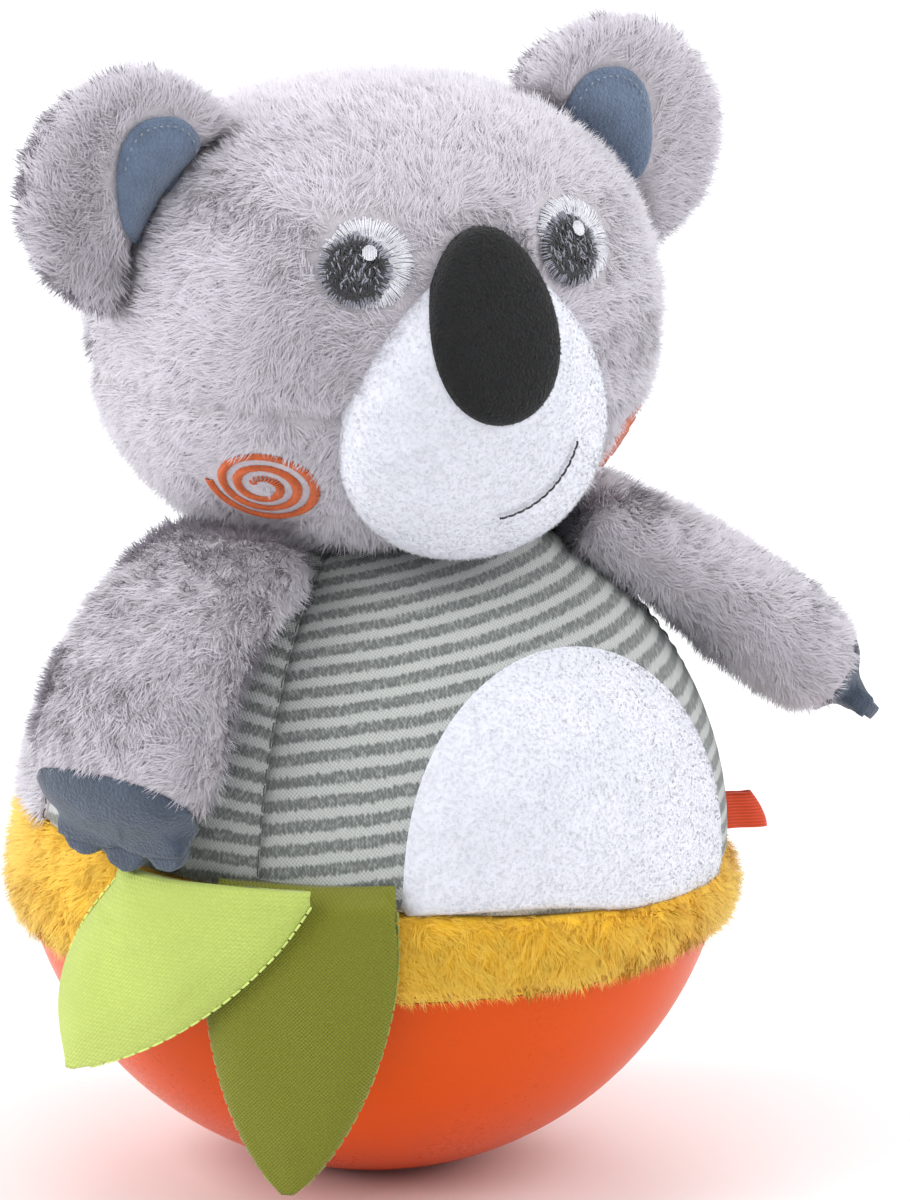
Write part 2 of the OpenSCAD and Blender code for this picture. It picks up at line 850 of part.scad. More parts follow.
// What the arm meets as it swings: the torso, the head with its stitching, and the turned muzzle
module arm_clearance(turn, angles) {
    root = [arm_out, 0, arm_root_z];
    for (a = angles) translate(root) rotate([0, a, 0]) translate(-root) {
        translate([0, 0, torso_z]) sphere(torso_r + arm_gap, $fn = soft_fn);
        translate([0, 0, head_z]) head_sweep(thread_t + arm_gap);
        rotate(90 - turn) translate([0, 0, head_z]) rotate(head_swing - head_turn) muzzle_form(arm_gap);
    }
}

// Felt with a straight root inside the arm and three round claws outside it
module claws_outline() {
    lobe_r = claws_w / 6;
    root_w = claws_w - lobe_r;
    translate([-claws_len, -root_w / 2]) square([claws_len + lobe_r / 2, root_w]);
    for (k = [-1 : 1]) translate([0, k * (claws_w / 2 - lobe_r)]) {
        reach = claws_len - lobe_r - abs(k) * lobe_r / 3;
        translate([reach, 0]) circle(lobe_r);
        translate([0, -lobe_r]) square([reach, lobe_r * 2]);
    }
}

module claws_plate(slopes) {
    translate(arm_at(1, slopes)) rotate([0, slopes[1], 0]) translate([0, 0, -claws_t / 2])
        linear_extrude(claws_t) claws_outline();
}

module arm(slopes, turn, angles) {
    color(grey_plush) sewn() rotate(turn - 90) difference() {
        arm_form(slopes);
        arm_clearance(turn, angles);
        claws_plate(slopes);
    }
}

module claws(slopes, turn) {
    color(slate) rotate(turn - 90) claws_plate(slopes);
}

// LEAVES

leaf_rings = 12;
leaf_sides = 8;
leaf_base_share = 0.94;
leaf_peak_share = 0.3;
leaf_flare_share = 0.02;
leaf_last_share = 0.985;
leaf_puff_share = 0.08;
leaf_round_power = 0.8;
// Middle of each leaf at its base and at its tip, measured from the belly
dark_leaf_turns = [-52, -54];
light_leaf_turns = [-67, -91];
// How blunt each leaf's tip is
dark_leaf_power = 2.4;
light_leaf_power = 3.2;

// Half width along the leaf, as a share of its widest
function leaf_half(t, power) =
    (leaf_base_share + (1 - leaf_base_share) * sin(90 * min(1, t / leaf_peak_share)))
    * pow(max(0, 1 - pow(t, power)), leaf_round_power);

// One cross-section of a leaf: out along its face and back along its underside
function leaf_ring(t, turns, power, length, width, seat_r, tuck) = let (
    turn = turns[0] + (turns[1] - turns[0]) * t,
    top = seam_at(turns[0], band_r) - leaf_gap
) [for (k = [0 : leaf_sides * 2 - 1]) let (
    s = k <= leaf_sides ? -1 + 2 * k / leaf_sides : 3 - 2 * k / leaf_sides,
    swell = (1 - s * s) * sin(180 * min(1, t + leaf_puff_share)),
    puff = (leaf_edge_t + (leaf_t - leaf_edge_t) * swell) / 2,
    r = seat_r + length * t * leaf_flare_share - tuck * pow(max(0, -s), 2),
    a = turn + s * leaf_half(t, power) * width / 2 / r * 180 / PI,
    reach = r + (k <= leaf_sides ? puff : -puff) * (abs(s) == 1 ? 0 : 1)
) [reach * sin(a), -reach * cos(a), top - length * t]];

module leaf(turns, power, length, width, seat_r, tuck) {
    sewn() skin([for (i = [0 : leaf_rings])
        leaf_ring(leaf_last_share * i / leaf_rings, turns, power, length, width, seat_r, tuck)]);
}

dark_leaf_r = band_r + leaf_gap + leaf_t / 2;
light_leaf_r = dark_leaf_r + (leaf_t + leaf_edge_t) / 2 + leaf_gap;

module dark_leaf() {
    color(olive) leaf(dark_leaf_turns, dark_leaf_power, dark_leaf_len, dark_leaf_w, dark_leaf_r, 0);
}

// The outer leaf lies over the dark one and tucks in beside it
module light_leaf() {
    color(lime) leaf(light_leaf_turns, light_leaf_power, light_leaf_len, light_leaf_w, light_leaf_r, leaf_t);
}

right_arm_angles = [0, arm_raise / 2, arm_raise];
left_arm_angles = [-arm_lower, 0, arm_raise / 2, arm_raise];

bowl();
ballast();
ballast_washer();
ballast_screw();
chime_plate();
chime_rod(0);  // chime_rod_1
chime_rod(1);  // chime_rod_2
chime_rod(2);  // chime_rod_3
chime_rod(3);  // chime_rod_4
bowl_lid();
lid_screw(0);  // lid_screw_1
lid_screw(1);  // lid_screw_2
lid_screw(2);  // lid_screw_3
clapper_pin();
clapper();
plush_hem();
rim_band();
torso_stuffing();
belly_panel();
right_side_panel();
left_side_panel();
back_panel();
belly_patch();
tag();
dark_leaf();
light_leaf();
head();
muzzle();
nose();
mouth_stitch();
eye_white(-1);  // right_eye_white
eye_white(1);  // left_eye_white
iris(-1);  // right_iris
iris(1);  // left_iris
cheek_spiral(-1);  // right_cheek_spiral
cheek_spiral(1);  // left_cheek_spiral
ear(-1);  // right_ear
ear(1);  // left_ear
ear_lining(-1);  // right_ear_lining
ear_lining(1);  // left_ear_lining
arm(right_arm_slopes, -right_arm_turn, right_arm_angles);  // right_arm
arm(left_arm_slopes, left_arm_turn, left_arm_angles);  // left_arm
claws(right_arm_slopes, -right_arm_turn);  // right_claws
claws(left_arm_slopes, left_arm_turn);  // left_claws
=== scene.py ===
"""Plush koala on a weighted bowl: fur, cloth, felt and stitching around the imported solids."""

import json
import math
import random

import bmesh
import bpy
import numpy as np
from mathutils import Matrix, Vector
from mathutils.bvhtree import BVHTree

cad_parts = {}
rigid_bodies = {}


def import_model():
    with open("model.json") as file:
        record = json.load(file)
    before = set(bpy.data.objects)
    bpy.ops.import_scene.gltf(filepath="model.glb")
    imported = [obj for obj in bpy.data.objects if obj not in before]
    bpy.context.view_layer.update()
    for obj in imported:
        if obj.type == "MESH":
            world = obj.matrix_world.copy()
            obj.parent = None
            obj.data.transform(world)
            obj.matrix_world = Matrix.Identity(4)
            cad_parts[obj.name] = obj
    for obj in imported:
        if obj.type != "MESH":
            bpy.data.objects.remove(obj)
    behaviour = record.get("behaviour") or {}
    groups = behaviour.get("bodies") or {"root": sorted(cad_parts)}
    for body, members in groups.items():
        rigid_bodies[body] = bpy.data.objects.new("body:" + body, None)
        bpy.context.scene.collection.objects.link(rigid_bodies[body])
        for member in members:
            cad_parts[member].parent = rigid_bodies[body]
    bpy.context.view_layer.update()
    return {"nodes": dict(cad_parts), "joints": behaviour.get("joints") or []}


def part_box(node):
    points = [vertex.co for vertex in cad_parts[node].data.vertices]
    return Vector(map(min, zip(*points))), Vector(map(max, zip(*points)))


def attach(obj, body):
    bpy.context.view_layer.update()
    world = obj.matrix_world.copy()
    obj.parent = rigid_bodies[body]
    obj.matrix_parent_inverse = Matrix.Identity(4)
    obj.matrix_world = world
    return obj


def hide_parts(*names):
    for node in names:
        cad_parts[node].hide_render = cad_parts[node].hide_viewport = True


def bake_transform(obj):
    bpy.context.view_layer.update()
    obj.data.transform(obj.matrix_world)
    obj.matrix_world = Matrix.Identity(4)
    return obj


bl_info = {
    "name": "Weighted plush koala",
    "version": (1, 0, 0),
    "blender": (4, 5, 0),
    "location": "View3D > Sidebar > Koala",
    "description": "Builds the fur, cloth, felt and stitching of a plush koala on a weighted bowl",
    "category": "Object",
}

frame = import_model()

MM = 0.001
SIDES = (("right", -1), ("left", 1))

# The body: its angles are in degrees round the toy, from the front
BOWL_MIDDLE = Vector((0, 0, 54.553)) * MM
TORSO_MIDDLE = Vector((0, 0, 51.553)) * MM
TORSO_R = 54.6 * MM
NECK_R = 18 * MM
TORSO_TOP = math.acos(NECK_R / TORSO_R)
SEAM_Z = 53.853 * MM
SEAM_LEAN = math.radians(5.5)
SEAM_HIGH = math.radians(-131.5)
BELLY_ANGLE = 60
SIDE_ANGLE = 50

# The head: its angles are in degrees from the middle of the face
HEAD_MIDDLE = Vector((0, 0, 134.153)) * MM
HEAD_TURN = math.radians(-13.5)
CREASE_Z = 127.3 * MM
EYE_LON, EYE_LAT = 29, 23.5
SPIRAL_LON, SPIRAL_LAT, SPIRAL_R, SPIRAL_W = 54, -27, 10.5 * MM, 2.8 * MM
LEFT_SPIRAL_SHIFT = 5

# The arms: where they are sewn on, in degrees, and which way the felt lies round each paw
ARM_TURNS = {"right": -80, "left": 60}
FELT_LEANS = {"right": 0.0, "left": -0.55}

# Thicknesses of the cut cloths
JERSEY_THICK, VELOUR_THICK, LINING_THICK, STRIP_THICK = 1.2 * MM, 0.9 * MM, 1.0 * MM, 0.8 * MM

# Grain of the felt: the scale of its patches, of its fibres, and the bump's strength and depth
FELT_PATCH, FELT_FIBRE, FELT_BUMP = 260.0, 1900.0, (0.8, 0.8 * MM)

# Half the width and the height of an ear's lining
LINING_HALF_W, LINING_HALF_H = 7.6 * MM, 10.2 * MM

# Where the four points of a stitch lie along it, from end to end
STITCH_STEPS = (-1, -0.4, 0.4, 1)

# Fur: how many tufts differ, the yaw of fur that lies every way, and each coat's seed
TUFT_KINDS, ANY_YAW = 6, 3.1
SEEDS = {
    "band_fur": 21,
    "back_fur": 31,
    "belly_patch_nap": 41,
    "head_fur": 51,
    "muzzle_nap": 61,
    "nose_fuzz": 71,
    "right_ear_fur": 81,
    "left_ear_fur": 82,
    "right_arm_fur": 91,
    "left_arm_fur": 92,
}

# Each light's turn and rise in degrees, distance and width in metres, and power in watts
LIGHTS = {
    "key": (40, 38, 1.1, 0.9, 7.5),
    "left": (-115, 32, 1.2, 1.0, 12.5),
    "rim": (140, 40, 1.2, 0.8, 5.0),
    "top": (-30, 84, 1.1, 1.0, 3.0),
}
LIT_MIDDLE = Vector((0, 0, 90)) * MM

# The sockets of a Mix node that blend two colours
MIX_SHARE, MIX_FROM, MIX_TO, MIX_RESULT = 0, 6, 7, 2


def srgb(red, green, blue):
    """A colour from 0-255 values, as the linear numbers that the nodes take."""
    return tuple(
        (c / 255 / 12.92) if c <= 10 else ((c / 255 + 0.055) / 1.055) ** 2.4
        for c in (red, green, blue)
    )


def shade(name, note, colour):
    """A colour that can be set, from 0-255 values."""
    return bpy.props.FloatVectorProperty(
        name=name, description=note, subtype="COLOR", size=3, min=0, max=1, default=srgb(*colour)
    )


def size(name, note, millimetres):
    """A length that can be set."""
    return bpy.props.FloatProperty(
        name=name, description=note, subtype="DISTANCE", unit="LENGTH", default=millimetres * MM
    )


def bearing(name, note, degrees):
    """An angle that can be set."""
    return bpy.props.FloatProperty(
        name=name, description=note, subtype="ANGLE", default=math.radians(degrees)
    )


class PlushSettings(bpy.types.PropertyGroup):
    grey_root: shade("Grey root", "Grey fur near the cloth", (201, 195, 202))
    grey_tip: shade("Grey tip", "Grey fur at its tips", (228, 224, 233))
    yellow_root: shade("Yellow root", "Yellow fur near the cloth", (255, 200, 40))
    yellow_tip: shade("Yellow tip", "Yellow fur at its tips", (255, 216, 84))
    white: shade("White velour", "Muzzle and belly patch", (234, 236, 245))
    fur_length: size("Fur length", "Length of the grey fur", 3.0)
    band_length: size("Band fur length", "Length of the yellow fur", 2.8)
    fur_spacing: size("Fur spacing", "Distance between tufts of fur", 1.2)
    nap_length: size("Nap length", "Length of the velour's pile", 0.45)
    nap_spacing: size("Nap spacing", "Distance between tufts of velour", 0.5)


class ClothSettings(bpy.types.PropertyGroup):
    stripe_dark: shade("Dark stripe", "Dark stripe of the jersey", (108, 113, 111))
    stripe_light: shade("Light stripe", "Light stripe of the jersey", (192, 195, 193))
    fleck: shade("Fleck", "Pale fibres in the jersey", (200, 205, 198))
    stripe_pitch: size("Stripe pitch", "One dark and one light stripe", 3.4)
    olive: shade("Olive canvas", "The dark leaf", (128, 132, 8))
    lime: shade("Lime jersey", "The light leaf", (196, 214, 104))
    red: shade("Red ribbon", "The tab in the seam", (240, 74, 12))
    slate: shade("Slate felt", "Ear linings and claws", (112, 130, 156))
    black: shade("Black felt", "The nose", (16, 17, 19))


class ThreadSettings(bpy.types.PropertyGroup):
    white: shade("White thread", "Edge of the eyes", (240, 240, 247))
    grey: shade("Grey thread", "Pale threads of the irises", (158, 158, 172))
    black: shade("Black thread", "Dark threads of the irises and the mouth", (36, 36, 42))
    rust: shade("Rust thread", "Cheek spirals", (220, 96, 4))
    pale: shade("Pale thread", "Stitches of the ear linings", (150, 160, 172))
    thickness: size("Thread thickness", "Thickness of the embroidery thread", 0.34)


class HardSettings(bpy.types.PropertyGroup):
    orange: shade("Orange plastic", "The bowl", (222, 80, 2))
    ivory: shade("Ivory plastic", "The lid and the chime plate", (226, 220, 202))
    steel: shade("Steel", "Screws, rods, pin and clapper", (176, 178, 182))
    iron: shade("Cast iron", "The weight", (66, 64, 63))


class StageSettings(bpy.types.PropertyGroup):
    azimuth: bearing("Azimuth", "Camera angle round the toy", -41.5)
    elevation: bearing("Elevation", "Camera angle above the floor", 14)
    distance: size("Distance", "Camera distance", 2400)
    height: size("View height", "Height of the view at the toy", 185.5)
    floor: shade("Floor", "The pale floor", (246, 246, 247))


# Meshes


def linked(name, mesh):
    """A new object in the scene, at the origin."""
    ob = bpy.data.objects.new(name, mesh)
    bpy.context.scene.collection.objects.link(ob)
    return ob


def piece_from(name, points, faces):
    """A smooth mesh object from its points and faces."""
    mesh = bpy.data.meshes.new(name)
    mesh.from_pydata([tuple(p) for p in points], [], faces)
    mesh.update()
    mesh.polygons.foreach_set("use_smooth", [True] * len(mesh.polygons))
    return linked(name, mesh)


def grid_faces(rows, columns, closed=False):
    """Faces between rows of points; a closed row's last point is joined to its first."""
    wide = columns if closed else columns + 1
    faces = []
    for j in range(rows):
        for i in range(columns):
            after = (i + 1) % wide
            faces.append((j * wide + i, j * wide + after, (j + 1) * wide + after, (j + 1) * wide + i))
    return faces


def weld(mesh, outwards=False):
    """Merges a mesh's doubled points and, if asked, turns its faces outwards."""
    merged = bmesh.new()
    merged.from_mesh(mesh)
    bmesh.ops.remove_doubles(merged, verts=merged.verts, dist=1e-6)
    if outwards:
        bmesh.ops.recalc_face_normals(merged, faces=merged.faces)
    merged.to_mesh(mesh)
    merged.free()


def plain(ob):
    """Turns what the modifiers make into the object's own mesh."""
    graph = bpy.context.evaluated_depsgraph_get()
    mesh = bpy.data.meshes.new_from_object(
        ob.evaluated_get(graph), preserve_all_data_layers=True, depsgraph=graph
    )
    ob.modifiers.clear()
    ob.data = mesh
    return ob


def places(ob):
    """The places of an object's points, one row for each."""
    co = np.empty(len(ob.data.vertices) * 3, np.float32)
    ob.data.vertices.foreach_get("co", co)
    return co.reshape(-1, 3).astype(float)


def normals(ob):
    """The directions that an object's points face, one row for each."""
    no = np.empty(len(ob.data.vertices) * 3, np.float32)
    ob.data.vertices.foreach_get("normal", no)
    return no.reshape(-1, 3).astype(float)


def put_places(ob, co):
    ob.data.vertices.foreach_set("co", co.astype(np.float32).ravel())
    ob.data.update()


def set_values(ob, name, values):
    """Stores a number or a vector at every point of an object."""
    kind, field = ("FLOAT_VECTOR", "vector") if values.ndim == 2 else ("FLOAT", "value")
    attribute = ob.data.attributes.new(name, kind, "POINT")
    attribute.data.foreach_set(field, values.astype(np.float32).ravel())


def unit(v):
    return v / np.maximum(np.linalg.norm(v, axis=-1, keepdims=True), 1e-12)


def eased(x, low, high):
    """Rises smoothly from 0 at the low value to 1 at the high one."""
    t = np.clip((x - low) / (high - low), 0, 1)
    return t * t * (3 - 2 * t)


def form_of(name, node, voxel, rounds):
    """A soft, even-meshed copy of a CAD node's form."""
    mesh = frame["nodes"][node].data.copy()
    mesh.name = name
    mesh.materials.clear()
    weld(mesh)
    ob = linked(name, mesh)
    remesh = ob.modifiers.new("Even mesh", "REMESH")
    remesh.mode = "VOXEL"
    remesh.voxel_size = voxel
    soften = ob.modifiers.new("Soft edges", "SMOOTH")
    soften.factor = 0.5
    soften.iterations = rounds
    plain(ob)
    ob.data.polygons.foreach_set("use_smooth", [True] * len(ob.data.polygons))
    return ob


def stuffed(ob, cap, pressure=4.0, steps=12):
    """Lets the filling press the cloth outwards, at most as far as the cap."""
    rest = places(ob)
    cloth = ob.modifiers.new("Filling", "CLOTH")
    cloth.settings.use_pressure = True
    cloth.settings.uniform_pressure_force = pressure
    cloth.settings.effector_weights.gravity = 0
    cloth.collision_settings.use_collision = False
    for step in range(1, steps + 1):
        bpy.context.scene.frame_set(step)
    swollen = ob.evaluated_get(bpy.context.evaluated_depsgraph_get()).to_mesh()
    co = np.empty(len(swollen.vertices) * 3, np.float32)
    swollen.vertices.foreach_get("co", co)
    moved = np.nan_to_num(co.reshape(-1, 3) - rest)
    ob.modifiers.clear()
    bpy.context.scene.frame_set(1)
    far = np.linalg.norm(moved, axis=1, keepdims=True)
    put_places(ob, rest + moved * np.minimum(1, cap / np.maximum(far, 1e-9)))
    return ob


def finer(ob):
    """Splits every face once and rounds the form."""
    detail = ob.modifiers.new("Finer", "SUBSURF")
    detail.levels = detail.render_levels = 1
    return plain(ob)


def thickened(ob, thickness):
    """Gives a sheet its thickness, on the side that lies on the body."""
    wall = ob.modifiers.new("Thickness", "SOLIDIFY")
    wall.thickness = thickness
    wall.offset = -1
    return plain(ob)


def dress(ob, material, body, replaces=()):
    """Gives a piece its material, the body it rides on, and what it replaces."""
    ob.data.materials.clear()
    ob.data.materials.append(material)
    if body:
        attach(ob, body)
    if replaces:
        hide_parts(*replaces)
    return ob


def tree_of(*obs):
    """The surfaces of objects, to be searched for the nearest place or along a ray."""
    points, faces = [], []
    for ob in obs:
        base = len(points)
        points += [v.co.copy() for v in ob.data.vertices]
        faces += [[base + i for i in p.vertices] for p in ob.data.polygons]
    return BVHTree.FromPolygons(points, faces)


def distances(source, co):
    """How far points lie from an object, or from a CAD node by its name."""
    found = tree_of(frame["nodes"][source] if isinstance(source, str) else source)
    return np.array([found.find_nearest(Vector(p))[3] for p in co])


def way_at(turn, rise):
    """The direction at an angle round the toy, from its front, and an angle above the floor."""
    return Vector((math.sin(turn) * math.cos(rise), -math.cos(turn) * math.cos(rise), math.sin(rise)))


def turned(vector, angle):
    """A vector turned round the upright axis."""
    return Matrix.Rotation(angle, 3, "Z") @ Vector(vector)


def facing(lon, lat):
    """Across, up and out axes at a place on the head."""
    lon, lat = math.radians(lon), math.radians(lat)
    axes = (
        (math.cos(lon), math.sin(lon), 0),
        (-math.sin(lon) * math.sin(lat), math.cos(lon) * math.sin(lat), math.cos(lat)),
        (math.sin(lon) * math.cos(lat), -math.cos(lon) * math.cos(lat), math.sin(lat)),
    )
    return [turned(a, HEAD_TURN) for a in axes]


def laid(skin, axes, flat, lift):
    """Points drawn flat in front of the head, laid on its skin and lifted by that much."""
    across, up, out = axes
    before, missed = 120 * MM, 80 * MM
    found = []
    for x, y in flat:
        start = HEAD_MIDDLE + across * x + up * y + out * before
        hit, normal, _, _ = skin.ray_cast(start, -out)
        found.append((hit or start - out * missed) + (normal or out) * lift)
    return found


def sunk(line, drop):
    """A stitch of four points with both ends pulled into the cloth."""
    return [line[0] - drop, line[1], line[2], line[3] - drop]


def seam_at(turn, r):
    """The height of the band's leaning seam at an angle and a radius of the body."""
    return SEAM_Z + r * math.cos(math.radians(turn) - SEAM_HIGH) * math.tan(SEAM_LEAN)


def seam_rise(turn):
    """The angle, seen from the body's middle, at which the seam crosses the torso."""
    return math.asin((seam_at(turn, TORSO_R) - TORSO_MIDDLE.z) / TORSO_R)


def waver(co, strength, rate, order=(1, 2, 0)):
    """A slow change of direction over a skin, so that its fur doesn't lie all one way."""
    return strength * np.sin(co[:, order] * rate)


# Node trees


def plugged(tree, socket, value):
    """Links a socket to another one, or gives it a value of its own."""
    if isinstance(value, bpy.types.NodeSocket):
        tree.links.new(value, socket)
    else:
        socket.default_value = value


def joined(tree, kind, settings=None, **sockets):
    """A new node, with its settings, and its inputs set or linked by name."""
    node = tree.nodes.new(kind)
    for key, value in (settings or {}).items():
        setattr(node, key, value)
    for key, value in sockets.items():
        wanted = key.replace("_", " ")
        plugged(tree, next(s for s in node.inputs if s.name == wanted and s.enabled), value)
    return node


def given(node, name=None):
    """The first output of a node that is in use, or the one of that name."""
    return next(s for s in node.outputs if s.enabled and (name is None or s.name == name))


def maths(tree, operation, a, b=0.0):
    node = tree.nodes.new("ShaderNodeMath")
    node.operation = operation
    for socket, value in zip(node.inputs, (a, b)):
        plugged(tree, socket, value)
    return node.outputs[0]


def plus(tree, a, b):
    return maths(tree, "ADD", a, b)


def times(tree, a, b):
    return maths(tree, "MULTIPLY", a, b)


def ripple(tree, along, pitch):
    """A wave that repeats at a pitch."""
    return maths(tree, "SINE", times(tree, along, 2 * math.pi / pitch))


def mixed(tree, share, a, b):
    """A colour that goes from one to another with the share."""
    node = tree.nodes.new("ShaderNodeMix")
    node.data_type = "RGBA"
    plugged(tree, node.inputs[MIX_SHARE], share)
    for index, colour in ((MIX_FROM, a), (MIX_TO, b)):
        whole = colour if isinstance(colour, bpy.types.NodeSocket) else (*colour, 1)
        plugged(tree, node.inputs[index], whole)
    return node.outputs[MIX_RESULT]


def ramped(tree, value, low, high, to_low=0.0, to_high=1.0):
    """A smooth step from one value to another."""
    node = joined(tree, "ShaderNodeMapRange", {"interpolation_type": "SMOOTHSTEP"}, Value=value)
    for index, number in enumerate((low, high, to_low, to_high), 1):
        node.inputs[index].default_value = number
    return node.outputs[0]


def noise(tree, where, scale, detail=3.0, roughness=0.55):
    sockets = {"Vector": where, "Scale": scale, "Detail": detail, "Roughness": roughness}
    return joined(tree, "ShaderNodeTexNoise", None, **sockets).outputs[0]


def shader_group(name, inputs, outputs):
    """An empty shader group, with its input and output nodes."""
    tree = bpy.data.node_groups.new(name, "ShaderNodeTree")
    for socket, kind, value in inputs:
        made = tree.interface.new_socket(socket, in_out="INPUT", socket_type=kind)
        if value is not None:
            made.default_value = value
    for socket, kind in outputs:
        tree.interface.new_socket(socket, in_out="OUTPUT", socket_type=kind)
    return tree, tree.nodes.new("NodeGroupInput"), tree.nodes.new("NodeGroupOutput")


def cloth_grain():
    """Patchy tone and a fine fibrous height, for every soft surface."""
    name = "cloth_grain"
    if name in bpy.data.node_groups:
        return bpy.data.node_groups[name]
    tree, source, target = shader_group(
        name,
        [
            ("Vector", "NodeSocketVector", None),
            ("Patch Scale", "NodeSocketFloat", 60.0),
            ("Fibre Scale", "NodeSocketFloat", 1500.0),
        ],
        [("Tone", "NodeSocketFloat"), ("Height", "NodeSocketFloat")],
    )
    patches = noise(tree, source.outputs["Vector"], source.outputs["Patch Scale"], 4.0)
    fibres = noise(tree, source.outputs["Vector"], source.outputs["Fibre Scale"], 3.0, 0.65)
    tone = plus(tree, times(tree, patches, 0.6), times(tree, fibres, 0.4))
    tree.links.new(tone, target.inputs["Tone"])
    tree.links.new(fibres, target.inputs["Height"])
    return tree


def woven_threads():
    """Over-and-under threads at a pitch, from a flat vector in metres."""
    name = "woven_threads"
    if name in bpy.data.node_groups:
        return bpy.data.node_groups[name]
    tree, source, target = shader_group(
        name,
        [
            ("Vector", "NodeSocketVector", None),
            ("Pitch", "NodeSocketFloat", 0.8 * MM),
            ("Slant", "NodeSocketFloat", 0.0),
        ],
        [("Threads", "NodeSocketFloat")],
    )
    split = joined(tree, "ShaderNodeSeparateXYZ", None, Vector=source.outputs["Vector"])
    rate = maths(tree, "DIVIDE", 2 * math.pi, source.outputs["Pitch"])
    across = maths(tree, "SINE", times(tree, split.outputs["X"], rate))
    along = times(tree, split.outputs["Z"], rate)
    leaning = plus(tree, along, times(tree, source.outputs["Slant"], across))
    made = times(tree, across, maths(tree, "SINE", leaning))
    tree.links.new(plus(tree, times(tree, made, 0.5), 0.5), target.inputs["Threads"])
    return tree


def both_sides(tree, under):
    """A normal for strands that show both faces; under is how far an underside keeps its own."""
    shape = joined(tree, "ShaderNodeNewGeometry")
    behind = shape.outputs["Backfacing"]
    flipped = maths(tree, "SUBTRACT", 1.0, times(tree, behind, 2.0))
    whole = joined(tree, "ShaderNodeVectorMath", {"operation": "ADD"})
    for index, source, share in (
        (0, shape.outputs["Normal"], flipped),
        (1, shape.outputs["True Normal"], times(tree, behind, under)),
    ):
        scaled = joined(tree, "ShaderNodeVectorMath", {"operation": "SCALE"}, Scale=share)
        tree.links.new(source, scaled.inputs[0])
        tree.links.new(scaled.outputs[0], whole.inputs[index])
    return whole.outputs[0]


def finish(name, build, bump=None, under=None, **sockets):
    """A material whose build function returns colour, roughness and height, each a socket or None."""
    name = f"{name}_finish"
    if name in bpy.data.materials:
        return bpy.data.materials[name]
    material = bpy.data.materials.new(name)
    material.use_nodes = True
    tree = material.node_tree
    principled = tree.nodes["Principled BSDF"]
    for key, value in sockets.items():
        principled.inputs[key.replace("_", " ")].default_value = value
    where = joined(tree, "ShaderNodeTexCoord").outputs["Object"]
    colour, roughness, height = build(tree, where)
    normal = None if under is None else both_sides(tree, under)
    if height is not None:
        strength, depth = bump
        raised = joined(tree, "ShaderNodeBump", None, Height=height, Strength=strength, Distance=depth)
        normal = raised.outputs[0]
    for socket, source in (("Base Color", colour), ("Roughness", roughness), ("Normal", normal)):
        if source is not None:
            tree.links.new(source, principled.inputs[socket])
    return material


def grain(tree, where, patch, fibre):
    """The tone and height of cloth, from the shared grain."""
    sockets = {"Vector": where, "Patch_Scale": patch, "Fibre_Scale": fibre}
    group = joined(tree, "ShaderNodeGroup", {"node_tree": cloth_grain()}, **sockets)
    return group.outputs["Tone"], group.outputs["Height"]


def dimmed(colour, by):
    return tuple(c * by for c in colour)


def fur_finish(name, root, tip, under=4.0):
    """Fur with painted shade between its strands: darker at its roots, and differing from tuft to tuft."""

    def build(tree, where):
        along = joined(tree, "ShaderNodeAttribute", {"attribute_name": "tip"}).outputs["Fac"]
        tuft = joined(tree, "ShaderNodeAttribute", {"attribute_name": "tuft"}).outputs["Fac"]
        tone, _ = grain(tree, where, 90.0, 900.0)
        # painted shade between the strands: the colour runs from the root colour, dimmed further, to the
        # lighter tip
        up = ramped(tree, plus(tree, along, times(tree, tone, 0.35)), 0.15, 1.1)
        colour = mixed(tree, up, dimmed(root, 0.94), tip)
        return mixed(tree, ramped(tree, tuft, 0.0, 1.0, 0.0, 0.28), colour, root), None, None

    return finish(name, build, None, under, Roughness=0.78, Sheen_Weight=0.35, Sheen_Roughness=0.5)


def cloth_finish(name, colour, patch=70.0, fibre=1300.0, contrast=0.3, bump=(0.35, 0.6 * MM), sheen=0.3):
    """Plain cloth with a patchy tone and a fibrous face."""

    def build(tree, where):
        tone, height = grain(tree, where, patch, fibre)
        dark = dimmed(colour, 1 - contrast)
        return mixed(tree, ramped(tree, tone, 0.3, 0.7), dark, colour), None, height

    return finish(name, build, bump, Roughness=0.88, Sheen_Weight=sheen, Sheen_Roughness=0.45)


def leaf_finish(leaf, colour):
    """Cloth of a leaf: its threads run along and across the leaf."""

    def build(tree, where):
        turn = (0, 0, -math.radians(sum(leaf["turns"]) / 2))
        flat = joined(tree, "ShaderNodeMapping", None, Vector=where, Rotation=turn)
        sockets = {"Vector": flat.outputs[0], "Pitch": leaf["pitch"], "Slant": leaf["slant"]}
        weave = joined(tree, "ShaderNodeGroup", {"node_tree": woven_threads()}, **sockets)
        tone, fibre = grain(tree, where, 45.0, 1600.0)
        threads = plus(tree, weave.outputs[0], times(tree, fibre, 0.5))
        # painted shade in the weave: darker where the threads dip under one another
        dark = dimmed(colour, 1 - leaf["contrast"])
        woven = mixed(tree, ramped(tree, threads, 0.35, 1.1), dark, colour)
        return mixed(tree, ramped(tree, tone, 0.35, 0.65), dimmed(colour, 0.82), woven), None, threads

    return finish(f"{leaf['slot']}_cloth", build, (0.45, 0.4 * MM), Roughness=0.85, Sheen_Weight=0.2)


